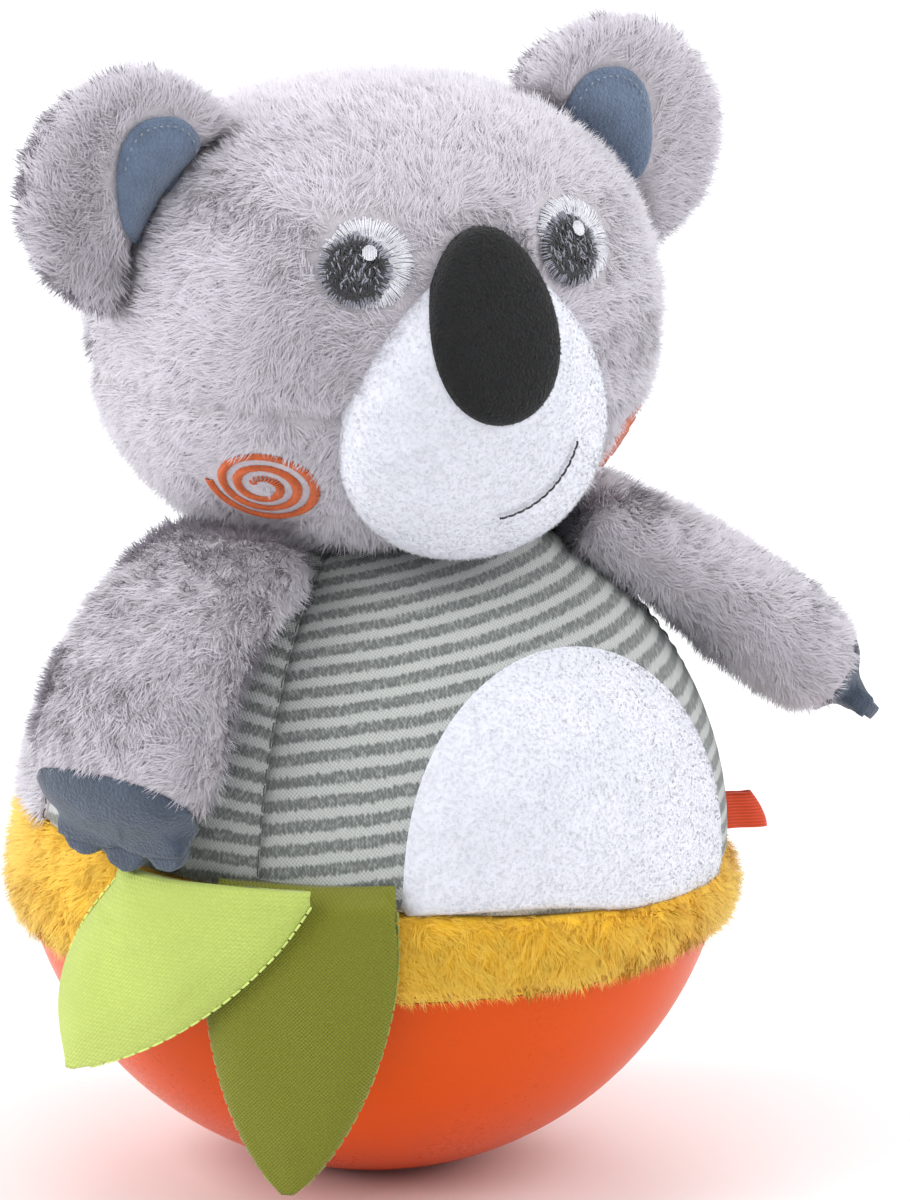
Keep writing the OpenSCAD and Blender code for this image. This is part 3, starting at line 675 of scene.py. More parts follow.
def striped_finish(cloth):
    """Heathered jersey with stripes across the panel, from the panel's own map in metres."""
    course_pitch, wale_pitch, stray = 0.68 * MM, 0.6 * MM, 1.2 * MM

    def build(tree, where):
        chart = joined(tree, "ShaderNodeUVMap", {"uv_map": "cloth"}).outputs[0]
        split = joined(tree, "ShaderNodeSeparateXYZ", None, Vector=chart)
        side, up = split.outputs["X"], split.outputs["Y"]
        wander = times(tree, maths(tree, "SUBTRACT", noise(tree, where, 55.0), 0.5), stray)
        stripes = ripple(tree, plus(tree, up, wander), cloth.stripe_pitch)
        streaks = joined(tree, "ShaderNodeMapping", None, Vector=chart, Scale=(2300, 900, 1))
        heather = noise(tree, streaks.outputs[0], 1.0, 2.0)
        stitch = times(tree, ripple(tree, up, course_pitch), ripple(tree, side, wale_pitch))
        blurred = plus(tree, stripes, times(tree, maths(tree, "SUBTRACT", heather, 0.55), 2.2))
        colour = mixed(tree, ramped(tree, blurred, -0.6, 0.6), cloth.stripe_dark, cloth.stripe_light)
        flecked = mixed(tree, ramped(tree, heather, 0.4, 0.7, 0.0, 0.4), colour, cloth.fleck)
        # painted shade between the knitted stitches: darker where the stitch ripple is low
        between = ramped(tree, stitch, -1.0, 0.6, 0.35, 0.0)
        knitted = mixed(tree, between, flecked, dimmed(cloth.stripe_dark, 0.6))
        return knitted, None, plus(tree, stitch, heather)

    return finish("striped_jersey", build, (0.35, 0.3 * MM), Roughness=0.9, Sheen_Weight=0.2)


def ribbon_finish(colour):
    """Ribbed ribbon, its ribs one above another."""
    rib_pitch = 0.5 * MM

    def build(tree, where):
        split = joined(tree, "ShaderNodeSeparateXYZ", None, Vector=where)
        rib = ripple(tree, split.outputs["Z"], rib_pitch)
        tone, fibre = grain(tree, where, 200.0, 2200.0)
        lit = ramped(tree, plus(tree, rib, tone), -0.6, 1.2)
        return mixed(tree, lit, dimmed(colour, 0.72), colour), None, plus(tree, rib, fibre)

    return finish("red_ribbon", build, (0.35, 0.2 * MM), Roughness=0.55, Sheen_Weight=0.3)


def thread_finish(name, colour):
    """Glossy embroidery thread."""

    def build(tree, where):
        tone, height = grain(tree, where, 400.0, 3200.0)
        return mixed(tree, ramped(tree, tone, 0.3, 0.72), dimmed(colour, 0.62), colour), None, height

    sockets = {"Roughness": 0.42, "Sheen_Weight": 0.25, "Specular_IOR_Level": 0.6}
    return finish(name, build, (0.3, 0.2 * MM), **sockets)


def hard_finish(name, colour, metallic, roughness, marks, spread=0.12):
    """Plastic or metal with a soft mottle and fine scuffs in its gloss."""

    def build(tree, where):
        tone, height = grain(tree, where, 30.0, marks)
        gloss = ramped(tree, tone, 0.3, 0.75, max(0.05, roughness - spread / 2), roughness + spread)
        mottled = mixed(tree, ramped(tree, tone, 0.3, 0.7), dimmed(colour, 0.93), colour)
        return mottled, gloss, height if metallic else None

    shine = 0.5 if metallic else 0.16
    return finish(name, build, (0.05, 0.2 * MM), Metallic=metallic, Specular_IOR_Level=shine)


# Fur and thread by Geometry Nodes


def geometry_group(name, inputs):
    """An empty geometry tree, with its input and output nodes."""
    tree = bpy.data.node_groups.new(name, "GeometryNodeTree")
    tree.interface.new_socket("Geometry", in_out="INPUT", socket_type="NodeSocketGeometry")
    for socket, kind in inputs:
        tree.interface.new_socket(socket, in_out="INPUT", socket_type=kind)
    tree.interface.new_socket("Geometry", in_out="OUTPUT", socket_type="NodeSocketGeometry")
    return tree, tree.nodes.new("NodeGroupInput"), tree.nodes.new("NodeGroupOutput")


def random_between(tree, kind, low, high, seed):
    node = joined(tree, "FunctionNodeRandomValue", {"data_type": kind}, Min=low, Max=high, Seed=seed)
    return given(node)


def realised(tree, geometry, material, target):
    """The end of a geometry tree: instances made real, and their material."""
    real = joined(tree, "GeometryNodeRealizeInstances", None, Geometry=geometry)
    coated = joined(tree, "GeometryNodeSetMaterial", None, Geometry=real.outputs[0], Material=material)
    tree.links.new(coated.outputs[0], target.inputs[0])
    return tree


def pile_tree():
    """Tufts that stand on a surface along its combed direction."""
    name = "plush_pile"
    if name in bpy.data.node_groups:
        return bpy.data.node_groups[name]
    tree, source, target = geometry_group(
        name,
        [
            ("Spacing", "NodeSocketFloat"),
            ("Length", "NodeSocketFloat"),
            ("Yaw", "NodeSocketFloat"),
            ("Seed", "NodeSocketInt"),
            ("Tufts", "NodeSocketCollection"),
            ("Material", "NodeSocketMaterial"),
        ],
    )
    entry = source.outputs
    pile, comb = (
        given(joined(tree, "GeometryNodeInputNamedAttribute", {"data_type": kind}, Name=layer), "Attribute")
        for layer, kind in (("pile", "FLOAT"), ("comb", "FLOAT_VECTOR"))
    )
    spots = joined(
        tree,
        "GeometryNodeDistributePointsOnFaces",
        {"distribute_method": "POISSON"},
        Mesh=entry["Geometry"],
        Distance_Min=entry["Spacing"],
        Density_Max=6.0e6,
        Density_Factor=pile,
        Seed=entry["Seed"],
    )
    upright = joined(
        tree,
        "FunctionNodeAlignRotationToVector",
        {"axis": "X", "pivot_axis": "Z"},
        Rotation=spots.outputs["Rotation"],
        Vector=comb,
    )
    wild = random_between(tree, "FLOAT_VECTOR", (-0.22, -0.22, -1.0), (0.22, 0.22, 1.0), 3)
    parts = joined(tree, "ShaderNodeSeparateXYZ", None, Vector=wild).outputs
    yaw = times(tree, parts["Z"], entry["Yaw"])
    euler = joined(tree, "ShaderNodeCombineXYZ", None, X=parts["X"], Y=parts["Y"], Z=yaw)
    spun = joined(
        tree,
        "FunctionNodeRotateRotation",
        {"rotation_space": "LOCAL"},
        Rotation=upright.outputs[0],
        Rotate_By=joined(tree, "FunctionNodeEulerToRotation", None, Euler=euler.outputs[0]).outputs[0],
    )
    tall = times(tree, random_between(tree, "FLOAT", 0.72, 1.12, 5), entry["Length"])
    short = times(tree, tall, plus(tree, 0.35, times(tree, pile, 0.65)))
    kinds = joined(
        tree,
        "GeometryNodeCollectionInfo",
        None,
        Collection=entry["Tufts"],
        Separate_Children=True,
        Reset_Children=True,
    )
    placed = joined(
        tree,
        "GeometryNodeInstanceOnPoints",
        None,
        Points=spots.outputs["Points"],
        Instance=kinds.outputs[0],
        Pick_Instance=True,
        Instance_Index=random_between(tree, "INT", 0, TUFT_KINDS - 1, 7),
        Rotation=spun.outputs[0],
        Scale=short,
    )
    up = joined(
        tree, "FunctionNodeRotateVector", None, Vector=(0, 0, 1), Rotation=spots.outputs["Rotation"]
    )
    stored = placed.outputs[0]
    for layer, kind, value in (
        ("tuft", "FLOAT", random_between(tree, "FLOAT", 0.0, 1.0, 11)),
        ("skin_normal", "FLOAT_VECTOR", up.outputs[0]),
    ):
        settings = {"data_type": kind, "domain": "INSTANCE"}
        sockets = {"Geometry": stored, "Name": layer, "Value": value}
        stored = joined(tree, "GeometryNodeStoreNamedAttribute", settings, **sockets).outputs[0]
    return realised(tree, stored, entry["Material"], target)


def thread_tree():
    """Round thread along every line of a wire mesh."""
    name = "laid_thread"
    if name in bpy.data.node_groups:
        return bpy.data.node_groups[name]
    tree, source, target = geometry_group(
        name, [("Radius", "NodeSocketFloat"), ("Material", "NodeSocketMaterial")]
    )
    entry = source.outputs
    lines = joined(tree, "GeometryNodeMeshToCurve", None, Mesh=entry["Geometry"])
    ring = joined(tree, "GeometryNodeCurvePrimitiveCircle", None, Resolution=5, Radius=entry["Radius"])
    sockets = {"Curve": lines.outputs[0], "Profile_Curve": ring.outputs[0], "Fill_Caps": True}
    tube = joined(tree, "GeometryNodeCurveToMesh", None, **sockets)
    smooth = joined(tree, "GeometryNodeSetShadeSmooth", None, Geometry=tube.outputs[0], Shade_Smooth=True)
    return realised(tree, smooth.outputs[0], entry["Material"], target)


def worked(ob, tree, **inputs):
    """Runs a geometry tree on an object with its named inputs, and keeps the plain result."""
    modifier = ob.modifiers.new("Work", "NODES")
    modifier.node_group = tree
    names = {s.name: s.identifier for s in tree.interface.items_tree if s.in_out == "INPUT"}
    for key, value in inputs.items():
        modifier[names[key]] = value
    return plain(ob)


def tufts_of(name, strands, width, lean, spread, gather):
    """Tufts one unit long, each a bunch of flat strands that lean towards +X."""
    if name in bpy.data.collections:
        return bpy.data.collections[name]
    bunch = bpy.data.collections.new(name)
    draw = random.Random(name)
    sunk_root, tilts, drifts, heights = -0.04, (0.55, 1.35), (-0.35, 0.35), (0.75, 1.1)
    for kind in range(TUFT_KINDS):
        points, faces, tips = [], [], []
        for _ in range(strands):
            angle, reach = draw.uniform(0, 2 * math.pi), spread * math.sqrt(draw.random())
            root = Vector((math.cos(angle) * reach, math.sin(angle) * reach, sunk_root))
            tilt = lean * draw.uniform(*tilts)
            drift = draw.uniform(*drifts) * lean
            tall = draw.uniform(*heights)
            flat = Vector((0.35 * draw.uniform(-1, 1), 1, 0.2 * draw.uniform(-1, 1))).normalized()
            side = flat * width / 2
            tip = Vector((root.x * (1 - gather), root.y * (1 - gather), root.z))
            tip += Vector((math.sin(tilt), math.sin(drift), math.cos(tilt))) * tall
            faces.append((len(points), len(points) + 1, len(points) + 2))
            points += [root + side, root - side, tip]
            tips += [0, 0, 1]
        mesh = bpy.data.meshes.new(f"{name}_{kind}")
        mesh.from_pydata([tuple(p) for p in points], [], faces)
        ob = bpy.data.objects.new(mesh.name, mesh)
        set_values(ob, "tip", np.array(tips))
        mesh.polygons.foreach_set("use_smooth", [True] * len(faces))
        bunch.objects.link(ob)
    return bunch


def groom(skin, flow, bare=(), thinned=None):
    """Stores how full the fur is and which way it lies at every point of a skin.

    Bare lists what the fur keeps clear of: how far from it the fur starts, and how far from it the
    fur is full, in millimetres.
    """
    co, no = places(skin), normals(skin)
    full = np.ones(len(co))
    for node, low, high in bare:
        full *= eased(distances(node, co), low * MM, high * MM)
    if thinned:
        full *= thinned(co)
    way = flow(co)
    set_values(skin, "pile", full)
    set_values(skin, "comb", unit(way - no * np.sum(way * no, axis=1, keepdims=True)))
    return skin


def furred(name, skin, material, spacing, length, yaw, tufts, lit=0.95):
    """The fur of a groomed skin, lit mostly as the skin under it would be."""
    ob = linked(name, skin.data.copy())
    inputs = {"Spacing": spacing, "Length": length, "Yaw": yaw, "Seed": SEEDS[name], "Tufts": tufts}
    worked(ob, pile_tree(), Material=material, **inputs)
    mesh = ob.data
    under = np.empty(len(mesh.vertices) * 3, np.float32)
    mesh.attributes["skin_normal"].data.foreach_get("vector", under)
    soft = unit(under.reshape(-1, 3) * lit + normals(ob) * (1 - lit))
    mesh.normals_split_custom_set_from_vertices(soft.tolist())
    for spare in ("skin_normal", "pile", "comb"):
        if spare in mesh.attributes:
            mesh.attributes.remove(mesh.attributes[spare])
    return ob


def sewn(name, lines, radius, material, body, replaces=()):
    """Threads laid along lines of points."""
    points, edges = [], []
    for line in lines:
        edges += [(len(points) + i, len(points) + i + 1) for i in range(len(line) - 1)]
        points += [tuple(p) for p in line]
    mesh = bpy.data.meshes.new(name)
    mesh.from_pydata(points, edges, [])
    ob = worked(linked(name, mesh), thread_tree(), Radius=radius, Material=material)
    return dress(ob, material, body, replaces)


def long_fur():
    """Long tufts: strands, their width, lean, spread and how far they gather at their tips."""
    return tufts_of("long_fur", 22, 0.07, 1.0, 0.52, 0.4)


def short_nap():
    """Short tufts of the velour and the felt, given in the same order."""
    return tufts_of("short_nap", 7, 0.2, 0.5, 0.8, 0.1)


def grey_skin(plush):
    return cloth_finish("grey_skin", plush.grey_root)


def white_velour(plush):
    return cloth_finish("white_velour", plush.white, 120.0, 1800.0, 0.1)


def grey_coat(plush, name, skin, yaw, body, closer=1.0):
    """Long grey fur on a groomed skin."""
    fur = fur_finish("grey_fur", plush.grey_root, plush.grey_tip)
    spacing = plush.fur_spacing * closer
    grown = furred(name, skin, fur, spacing, plush.fur_length, yaw, long_fur())
    return dress(grown, fur, body)


def white_coat(plush, name, skin, body):
    """The short nap of velour on a groomed skin, lying every way."""
    # roots dimmed: painted shade between the strands of the nap
    nap = fur_finish("white_nap", dimmed(plush.white, 0.86), plush.white, 0.0)
    grown = furred(name, skin, nap, plush.nap_spacing, plush.nap_length, ANY_YAW, short_nap(), 0.97)
    return dress(grown, nap, body)


# Pieces


class KoalaPiece:
    """Shared by the operators that build the pieces."""

    bl_options = {"REGISTER"}


class KOALA_OT_stage(KoalaPiece, bpy.types.Operator):
    """Makes the floor, the soft lights and the camera"""

    bl_idname = "koala.stage"
    bl_label = "Floor, lights and camera"

    def execute(self, context):
        context.scene.view_settings.view_transform = "Standard"
        self.floor(context.scene.koala_stage)
        self.camera(context.scene)
        self.lights(context.scene)
        return {"FINISHED"}

    def floor(self, stage):
        half = 4.0
        corners = [(-half, -half, 0), (half, -half, 0), (half, half, 0), (-half, half, 0)]
        floor = piece_from("floor", corners, [(0, 1, 2, 3)])

        def build(tree, where):
            return mixed(tree, noise(tree, where, 3.0), dimmed(stage.floor, 0.985), stage.floor), None, None

        floor.data.materials.append(finish("floor", build, Roughness=0.9))

    def camera(self, scene):
        """Looks past the bowl's middle, which lies left of and below the middle of the picture."""
        stage, aside, above = scene.koala_stage, 12.64 * MM, 33.08 * MM
        back = way_at(stage.azimuth, stage.elevation)
        right = Vector((math.cos(stage.azimuth), math.sin(stage.azimuth), 0))
        camera = bpy.data.cameras.new("camera")
        camera.sensor_width = 36
        camera.lens = camera.sensor_width * stage.distance / stage.height
        camera.clip_start, camera.clip_end = 0.1, 20
        view = linked("camera", camera)
        view.location = BOWL_MIDDLE + right * aside + back.cross(right) * above + back * stage.distance
        view.rotation_mode = "QUATERNION"
        view.rotation_quaternion = (-back).to_track_quat("-Z", "Y")
        scene.camera = view

    def lights(self, scene):
        world = bpy.data.worlds.new("studio")
        scene.world = world
        world.use_nodes = True
        background = world.node_tree.nodes["Background"]
        background.inputs["Color"].default_value = (0.96, 0.97, 1.0, 1)
        background.inputs["Strength"].default_value = 0.5
        for name, (turn, rise, far, wide, power) in LIGHTS.items():
            lamp = bpy.data.lights.new(name, "AREA")
            lamp.size, lamp.energy = wide, power
            way = way_at(math.radians(turn), math.radians(rise))
            ob = linked(name, lamp)
            ob.location = LIT_MIDDLE + way * far
            ob.rotation_mode = "QUATERNION"
            ob.rotation_quaternion = (-way).to_track_quat("-Z", "Y")


class KOALA_OT_hard_parts(KoalaPiece, bpy.types.Operator):
    """Gives the bowl, its lid, the weight, the chime and the screws their finishes"""

    bl_idname = "koala.hard_parts"
    bl_label = "Bowl, weight and chime"

    def execute(self, context):
        hard = context.scene.koala_hard
        orange = hard_finish("orange_plastic", hard.orange, 0.0, 0.3, 1400.0)
        ivory = hard_finish("ivory_plastic", hard.ivory, 0.0, 0.42, 1200.0)
        steel = hard_finish("steel", hard.steel, 1.0, 0.28, 2600.0)
        iron = hard_finish("cast_iron", hard.iron, 0.9, 0.6, 900.0, 0.2)
        finishes = {"bowl": orange, "bowl_lid": ivory, "chime_plate": ivory, "ballast": iron}
        metal = ["ballast_washer", "ballast_screw", "clapper_pin", "clapper"]
        metal += [f"chime_rod_{number}" for number in range(1, 5)]
        metal += [f"lid_screw_{number}" for number in range(1, 4)]
        finishes.update({node: steel for node in metal})
        for node, material in finishes.items():
            frame["nodes"][node].data.materials.clear()
            frame["nodes"][node].data.materials.append(material)
        return {"FINISHED"}


class KOALA_OT_band(KoalaPiece, bpy.types.Operator):
    """Makes the yellow plush band above the bowl and the filling inside the body"""

    bl_idname = "koala.band"
    bl_label = "Yellow band and filling"

    def execute(self, context):
        plush = context.scene.koala_plush
        skin = stuffed(form_of("band_skin", "rim_band", 1.8 * MM, 5), 0.4 * MM)
        bare = [("bowl", 0.3, 1.2), ("belly_panel", 0.2, 0.8), ("torso_stuffing", 0.5, 1.5)]
        bare += [("dark_leaf", 1.2, 2.6), ("light_leaf", 1.2, 2.6)]
        groom(skin, lambda co: np.array((0.25, 0.0, -1.0)) + waver(co, 0.5, 260), bare)
        yellow = cloth_finish("yellow_skin", plush.yellow_root)
        dress(skin, yellow, "base", ["rim_band"])
        hem = form_of("hem_cloth", "plush_hem", 0.45 * MM, 2)
        dress(hem, yellow, "base", ["plush_hem"])
        fur = fur_finish("yellow_fur", plush.yellow_root, plush.yellow_tip)
        made = furred("band_fur", skin, fur, plush.fur_spacing, plush.band_length, 0.9, long_fur())
        dress(made, fur, "base")
        filling = form_of("torso_filling", "torso_stuffing", 3 * MM, 3)
        put_places(filling, places(filling) - normals(filling) * 0.5 * MM)
        white = cloth_finish("fibre_filling", plush.white, 40.0, 700.0)
        dress(filling, white, "base", ["torso_stuffing"])
        return {"FINISHED"}


def torso_sheet(name, start, end, middle, columns, rows, grain_up=None):
    """A sewn panel of the body between two angles: puffed in its middle and pulled in at its seams."""
    puff, pull = 0.5 * MM, 0.5 * MM
    points, chart = [], []
    axis = way_at(math.radians(middle), 0)
    across = Vector((-axis.y, axis.x, 0))
    for j in range(rows + 1):
        for i in range(columns + 1):
            turn = start + (end - start) * i / columns
            low = seam_rise(turn)
            lat = low + (TORSO_TOP - low) * j / rows
            u, v = 2 * i / columns - 1, 2 * j / rows - 1
            swell = puff * (1 - u**4) * (1 - v**6) - pull * (abs(u) ** 24 + (j == 0))
            way = way_at(math.radians(turn), lat)
            points.append(TORSO_MIDDLE + way * (TORSO_R + swell))
            side = math.asin(max(-1, min(1, way.dot(across))))
            rise = math.atan2(way.z, max(1e-6, way.dot(axis)))
            if grain_up:
                rise = math.asin(way.dot(grain_up))
            chart.append((side * TORSO_R, rise * TORSO_R))
    ob = piece_from(name, points, grid_faces(rows, columns))
    layer = ob.data.uv_layers.new(name="cloth")
    for loop in ob.data.loops:
        layer.data[loop.index].uv = chart[loop.vertex_index]
    return ob


class KOALA_OT_torso(KoalaPiece, bpy.types.Operator):
    """Makes the striped belly and side panels, the plush back, the velour patch and their seams"""

    bl_idname = "koala.torso"
    bl_label = "Body panels and belly patch"

    def execute(self, context):
        plush, cloth = context.scene.koala_plush, context.scene.koala_cloth
        striped = striped_finish(cloth)
        edge, far = BELLY_ANGLE, BELLY_ANGLE + SIDE_ANGLE
        stripes_up = Vector((-0.104, 0.092, 0.99)).normalized()
        for node, start, end, middle, up in (
            ("belly_panel", -edge, edge, -25, stripes_up),
            ("right_side_panel", -far, -edge, -80, None),
            ("left_side_panel", edge, far, 85, None),
        ):
            sheet = thickened(torso_sheet(f"{node}_jersey", start, end, middle, 60, 40, up), JERSEY_THICK)
            dress(sheet, striped, "base", [node])
        back = torso_sheet("back_skin", far, 360 - far, 180, 60, 36)
        bare = [("left_side_panel", 0.5, 1.5), ("right_side_panel", 0.5, 1.5), ("head", 0.8, 2.5)]
        bare += [("right_arm", 0.5, 3.0), ("left_arm", 0.5, 3.0)]
        groom(back, lambda co: np.array((0.0, 0.1, -1.0)) + waver(co, 0.5, 240), bare)
        grey_coat(plush, "back_fur", back, 0.9, "base")
        dress(thickened(back, JERSEY_THICK), grey_skin(plush), "base", ["back_panel"])
        self.patch(plush)
        self.seams((-far, -edge, edge, far), cloth, context.scene.koala_thread)
        return {"FINISHED"}

    def seams(self, turns, cloth, thread):
        """Short stitches up the edges of the panels; the ribbon tab takes the first four of one edge."""
        count, under_tab, steps = 26, 4, 3
        stitch_start, stitch_share, low_lift, arch = 0.16, 0.68, 0.05 * MM, 0.22 * MM
        lines = []
        for turn in turns:
            low = seam_rise(turn)
            for k in range(under_tab if turn == BELLY_ANGLE else 0, count):
                line = []
                for step in range(steps + 1):
                    up = (k + stitch_start + stitch_share * step / steps) / count
                    way = way_at(math.radians(turn), low + (TORSO_TOP - low) * up)
                    lift = low_lift + arch * math.sin(math.pi * step / steps)
                    line.append(TORSO_MIDDLE + way * (TORSO_R + lift))
                lines.append(line)
        dark = thread_finish("seam_thread", dimmed(cloth.stripe_dark, 0.55))
        sewn("panel_seams", lines, thread.thickness * 0.4, dark, "base")

    def patch(self, plush):
        """The belly patch: a rounded arch of velour with its edge turned under."""
        radius, rise, drop, tuck, spokes, rings = 33 * MM, 2.2 * MM, 10 * MM, 0.6 * MM, 96, 26
        low_lift, swell, fold = 0.35 * MM, 1.1 * MM, 0.5 * MM
        middle_z = SEAM_Z + rise + drop

        def depth(x, z):
            return -math.sqrt(max(1e-9, TORSO_R**2 - x * x - (z - TORSO_MIDDLE.z) ** 2))

        def edge_along(way):
            """How far the patch goes along a spoke: to its arch above, to the seam below."""
            b = drop * way[1]
            reach = -b + math.sqrt(b * b + radius * radius - drop**2)
            for _ in range(8):
                x, z = way[0] * reach, middle_z + way[1] * reach
                y = depth(x, z)
                floor_z = seam_at(math.degrees(math.atan2(x, -y)), math.hypot(x, y)) - tuck
                if z < floor_z:
                    reach *= (middle_z - floor_z) / (middle_z - z)
            return reach

        turns = [2 * math.pi * spoke / spokes for spoke in range(spokes)]
        ways = [(math.cos(a), math.sin(a)) for a in turns]
        edges = [edge_along(way) for way in ways]
        points = []
        for ring in range(rings + 1):
            t = ring / rings
            lift = low_lift + swell * (1 - t**5) - (fold if ring == rings else 0)
            for way, reach in zip(ways, edges):
                x, z = way[0] * reach * t, middle_z + way[1] * reach * t
                spot = Vector((x, depth(x, z), z)) - TORSO_MIDDLE
                points.append(TORSO_MIDDLE + spot.normalized() * (TORSO_R + lift))
        faces = [f[::-1] for f in grid_faces(rings, spokes, True)]
        patch = piece_from("belly_patch_velour", points, faces)
        weld(patch.data, True)
        if np.mean(normals(patch)[:, 1]) > 0:
            patch.data.flip_normals()
        groom(patch, lambda co: np.array((0.1, 0.0, -1.0)) + waver(co, 0.6, 500))
        white_coat(plush, "belly_patch_nap", patch, "base")
        dress(thickened(patch, VELOUR_THICK), white_velour(plush), "base", ["belly_patch"])


class KOALA_OT_tag(KoalaPiece, bpy.types.Operator):
    """Makes the plain red ribbon tab that is sewn into the seam"""

    bl_idname = "koala.tag"
    bl_label = "Ribbon tab"

    def execute(self, context):
        low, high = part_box("tag")
        out = way_at(math.radians(BELLY_ANGLE), 0)
        side = Vector((-out.y, out.x, 0))
        start, length, half, thin = TORSO_R + 0.45 * MM, 6.3 * MM, 0.42 * MM, 0.32 * MM
        outer_wave, inner_wave, parts, rows = 0.12 * MM, 0.1 * MM, 8, 8
        loop = [(0.0, half)]
        loop += [(length * k / parts, half + outer_wave * math.sin(k)) for k in range(1, parts)]
        bend = np.linspace(0, math.pi, parts + 1)
        loop += [(length - half + half * math.sin(a), half * math.cos(a)) for a in bend]
        loop += [(length * k / parts, -half - inner_wave * math.cos(k)) for k in range(parts - 1, 0, -1)]
        loop.append((0.0, -half))
        points = []
        for j in range(rows + 1):
            t = j / rows
            rise = Vector((0, 0, low.z + (high.z - low.z) * t))
            reach, spread = 1.12 - 0.42 * t**1.6, 1.5 - 0.6 * t
            points += [out * (start + x * reach) + side * y * spread + rise for x, y in loop]
        tab = thickened(piece_from("ribbon_tab", points, grid_faces(rows, len(loop) - 1)), thin)
        dress(tab, ribbon_finish(context.scene.koala_cloth.red), "tag", ["tag"])
        return {"FINISHED"}


# Shares of a leaf's length: what is sewn in above the seam, and where the blunt tip ends
LEAF_ROOT, LEAF_END = 0.07, 0.985

# In millimetres: where a leaf meets the seam, and how thick it is at its edge and more in its middle
LEAF_SEAM_R, LEAF_DROP = 56, 0.4
LEAF_EDGE, LEAF_SWELL = 1.5, 1.9

# Turns are in degrees, at the seam and at the tip. The power says how late the leaf narrows, the
# seat is the radius that it lies at, root and tuck are how far its top and its right edge are
# pulled in, and fold is how deep its fold is, all in millimetres.
LEAVES = {
    "dark_leaf": {
        "turns": (-52, -54),
        "power": 2.4,
        "length": 45,
        "width": 31,
        "seat": 57.9,
        "root": 3.2,
        "tuck": 0,
        "fold": 0.0,
        "parent": "base",
        "slot": "olive_cotton",
        "colour": "olive",
        "pitch": 0.62 * MM,
        "slant": 0.0,
        "contrast": 0.42,
    },
    "light_leaf": {
        "turns": (-67, -91),
        "power": 3.2,
        "length": 31,
        "width": 38,
        "seat": 60.55,
        "root": 1.0,
        "tuck": 3,
        "fold": 0.7,
        "parent": "dark_leaf",
        "slot": "lime_cotton",
        "colour": "lime",
        "pitch": 0.7 * MM,
        "slant": 0.8,
        "contrast": 0.2,
    },
}


def leaf_spot(leaf, s, t, face):
    """A point of a leaf: s runs across it, t down it, and face is 1 outside, -1 underneath."""
    down = max(0, t)
    # how wide it is here: a little narrower at the seam, and closing towards its tip
    wide_share = 0.94 + 0.06 * math.sin(math.pi / 2 * min(1, down / 0.3))
    wide_share *= max(0, 1 - down ** leaf["power"]) ** 0.8
    # its filling, thickest in the middle and rounded off at the edges
    swell = (1 - s * s) * math.sin(math.pi * min(1, down + 0.08))
    thick = (LEAF_EDGE + LEAF_SWELL * swell) / 2 * math.sqrt(max(0, 1 - s**8))
    # how far out it lies, with soft dents and a fold
    r = leaf["seat"] + leaf["length"] * t * 0.02 - leaf["tuck"] * max(0, -s) ** 2
    r -= leaf["root"] * max(0, -t / LEAF_ROOT) ** 1.4
    dent = 0.35 * math.sin(5 * t + 2.2 * s + leaf["power"]) + 0.25 * math.sin(9 * t - 4 * s)
    dent -= leaf["fold"] * math.exp(-(((s - 0.72) / 0.09) ** 2)) * (1 - t)
    r += face * thick + dent * (1 - s * s) * math.sin(math.pi * min(1, down))
    first, last = leaf["turns"]
    a = math.radians(first + (last - first) * down) + s * wide_share * leaf["width"] / 2 / leaf["seat"]
    z = seam_at(first, LEAF_SEAM_R * MM) / MM - LEAF_DROP - leaf["length"] * t
    return Vector((r * math.sin(a), -r * math.cos(a), z)) * MM


class KOALA_OT_leaves(KoalaPiece, bpy.types.Operator):
    """Makes the two stuffed leaves and the thread along their edges"""

    bl_idname = "koala.leaves"
    bl_label = "Leaves"

    def execute(self, context):
        rows, columns = 64, 28
        for node, leaf in LEAVES.items():
            colour = getattr(context.scene.koala_cloth, leaf["colour"])
            across = [math.sin(math.pi / 2 * (2 * i / columns - 1)) for i in range(columns + 1)]
            ring = [(s, 1) for s in across] + [(s, -1) for s in across[-2:0:-1]]
            downs = [-LEAF_ROOT + (LEAF_END + LEAF_ROOT) * j / rows for j in range(rows + 1)]
            points = [leaf_spot(leaf, s, t, face) for t in downs for s, face in ring]
            count = len(ring)
            faces = [(a, d, c, b) for a, b, c, d in grid_faces(rows, count, True)]
            faces += [tuple(range(count)), tuple(rows * count + i for i in range(count))[::-1]]
            pad = stuffed(piece_from(f"{node}_pad", points, faces), 0.3 * MM, 3.0, 6)
            dress(pad, leaf_finish(leaf, colour), None, [node])
            pale = thread_finish(f"{leaf['slot']}_thread", tuple(min(1, c * 1.35 + 0.02) for c in colour))
            hem = sewn(f"{node}_hem", self.edges(leaf), 0.2 * MM, pale, None)
            top = leaf_spot(leaf, 0, 0, 0)
            for piece in (pad, hem):
                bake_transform(piece)
        return {"FINISHED"}

    def edges(self, leaf):
        """Stitches along both edges of a leaf, end to end with a gap between."""
        count, span = 90, 4
        lines = []
        for s in (-1, 1):
            edge = [leaf_spot(leaf, s, LEAF_END * k / count, 0) for k in range(count + 1)]
            lines += [edge[k : k + span] for k in range(0, count - 2, span)]
        return lines


def rounded_form(name, rings, sides, place):
    """A closed form on the head, from a ball whose points the place function moves."""
    points = []
    for i in range(rings):
        lat = math.pi * ((i + 0.5) / rings - 0.5)
        for j in range(sides):
            lon = 2 * math.pi * j / sides
            ball = (math.cos(lat) * math.sin(lon), -math.cos(lat) * math.cos(lon), math.sin(lat))
            points.append(HEAD_MIDDLE + turned(place(*ball), HEAD_TURN))
    faces = grid_faces(rings - 1, sides, True)
    faces += [tuple(range(sides))[::-1], tuple((rings - 1) * sides + j for j in range(sides))]
    return piece_from(name, points, faces)


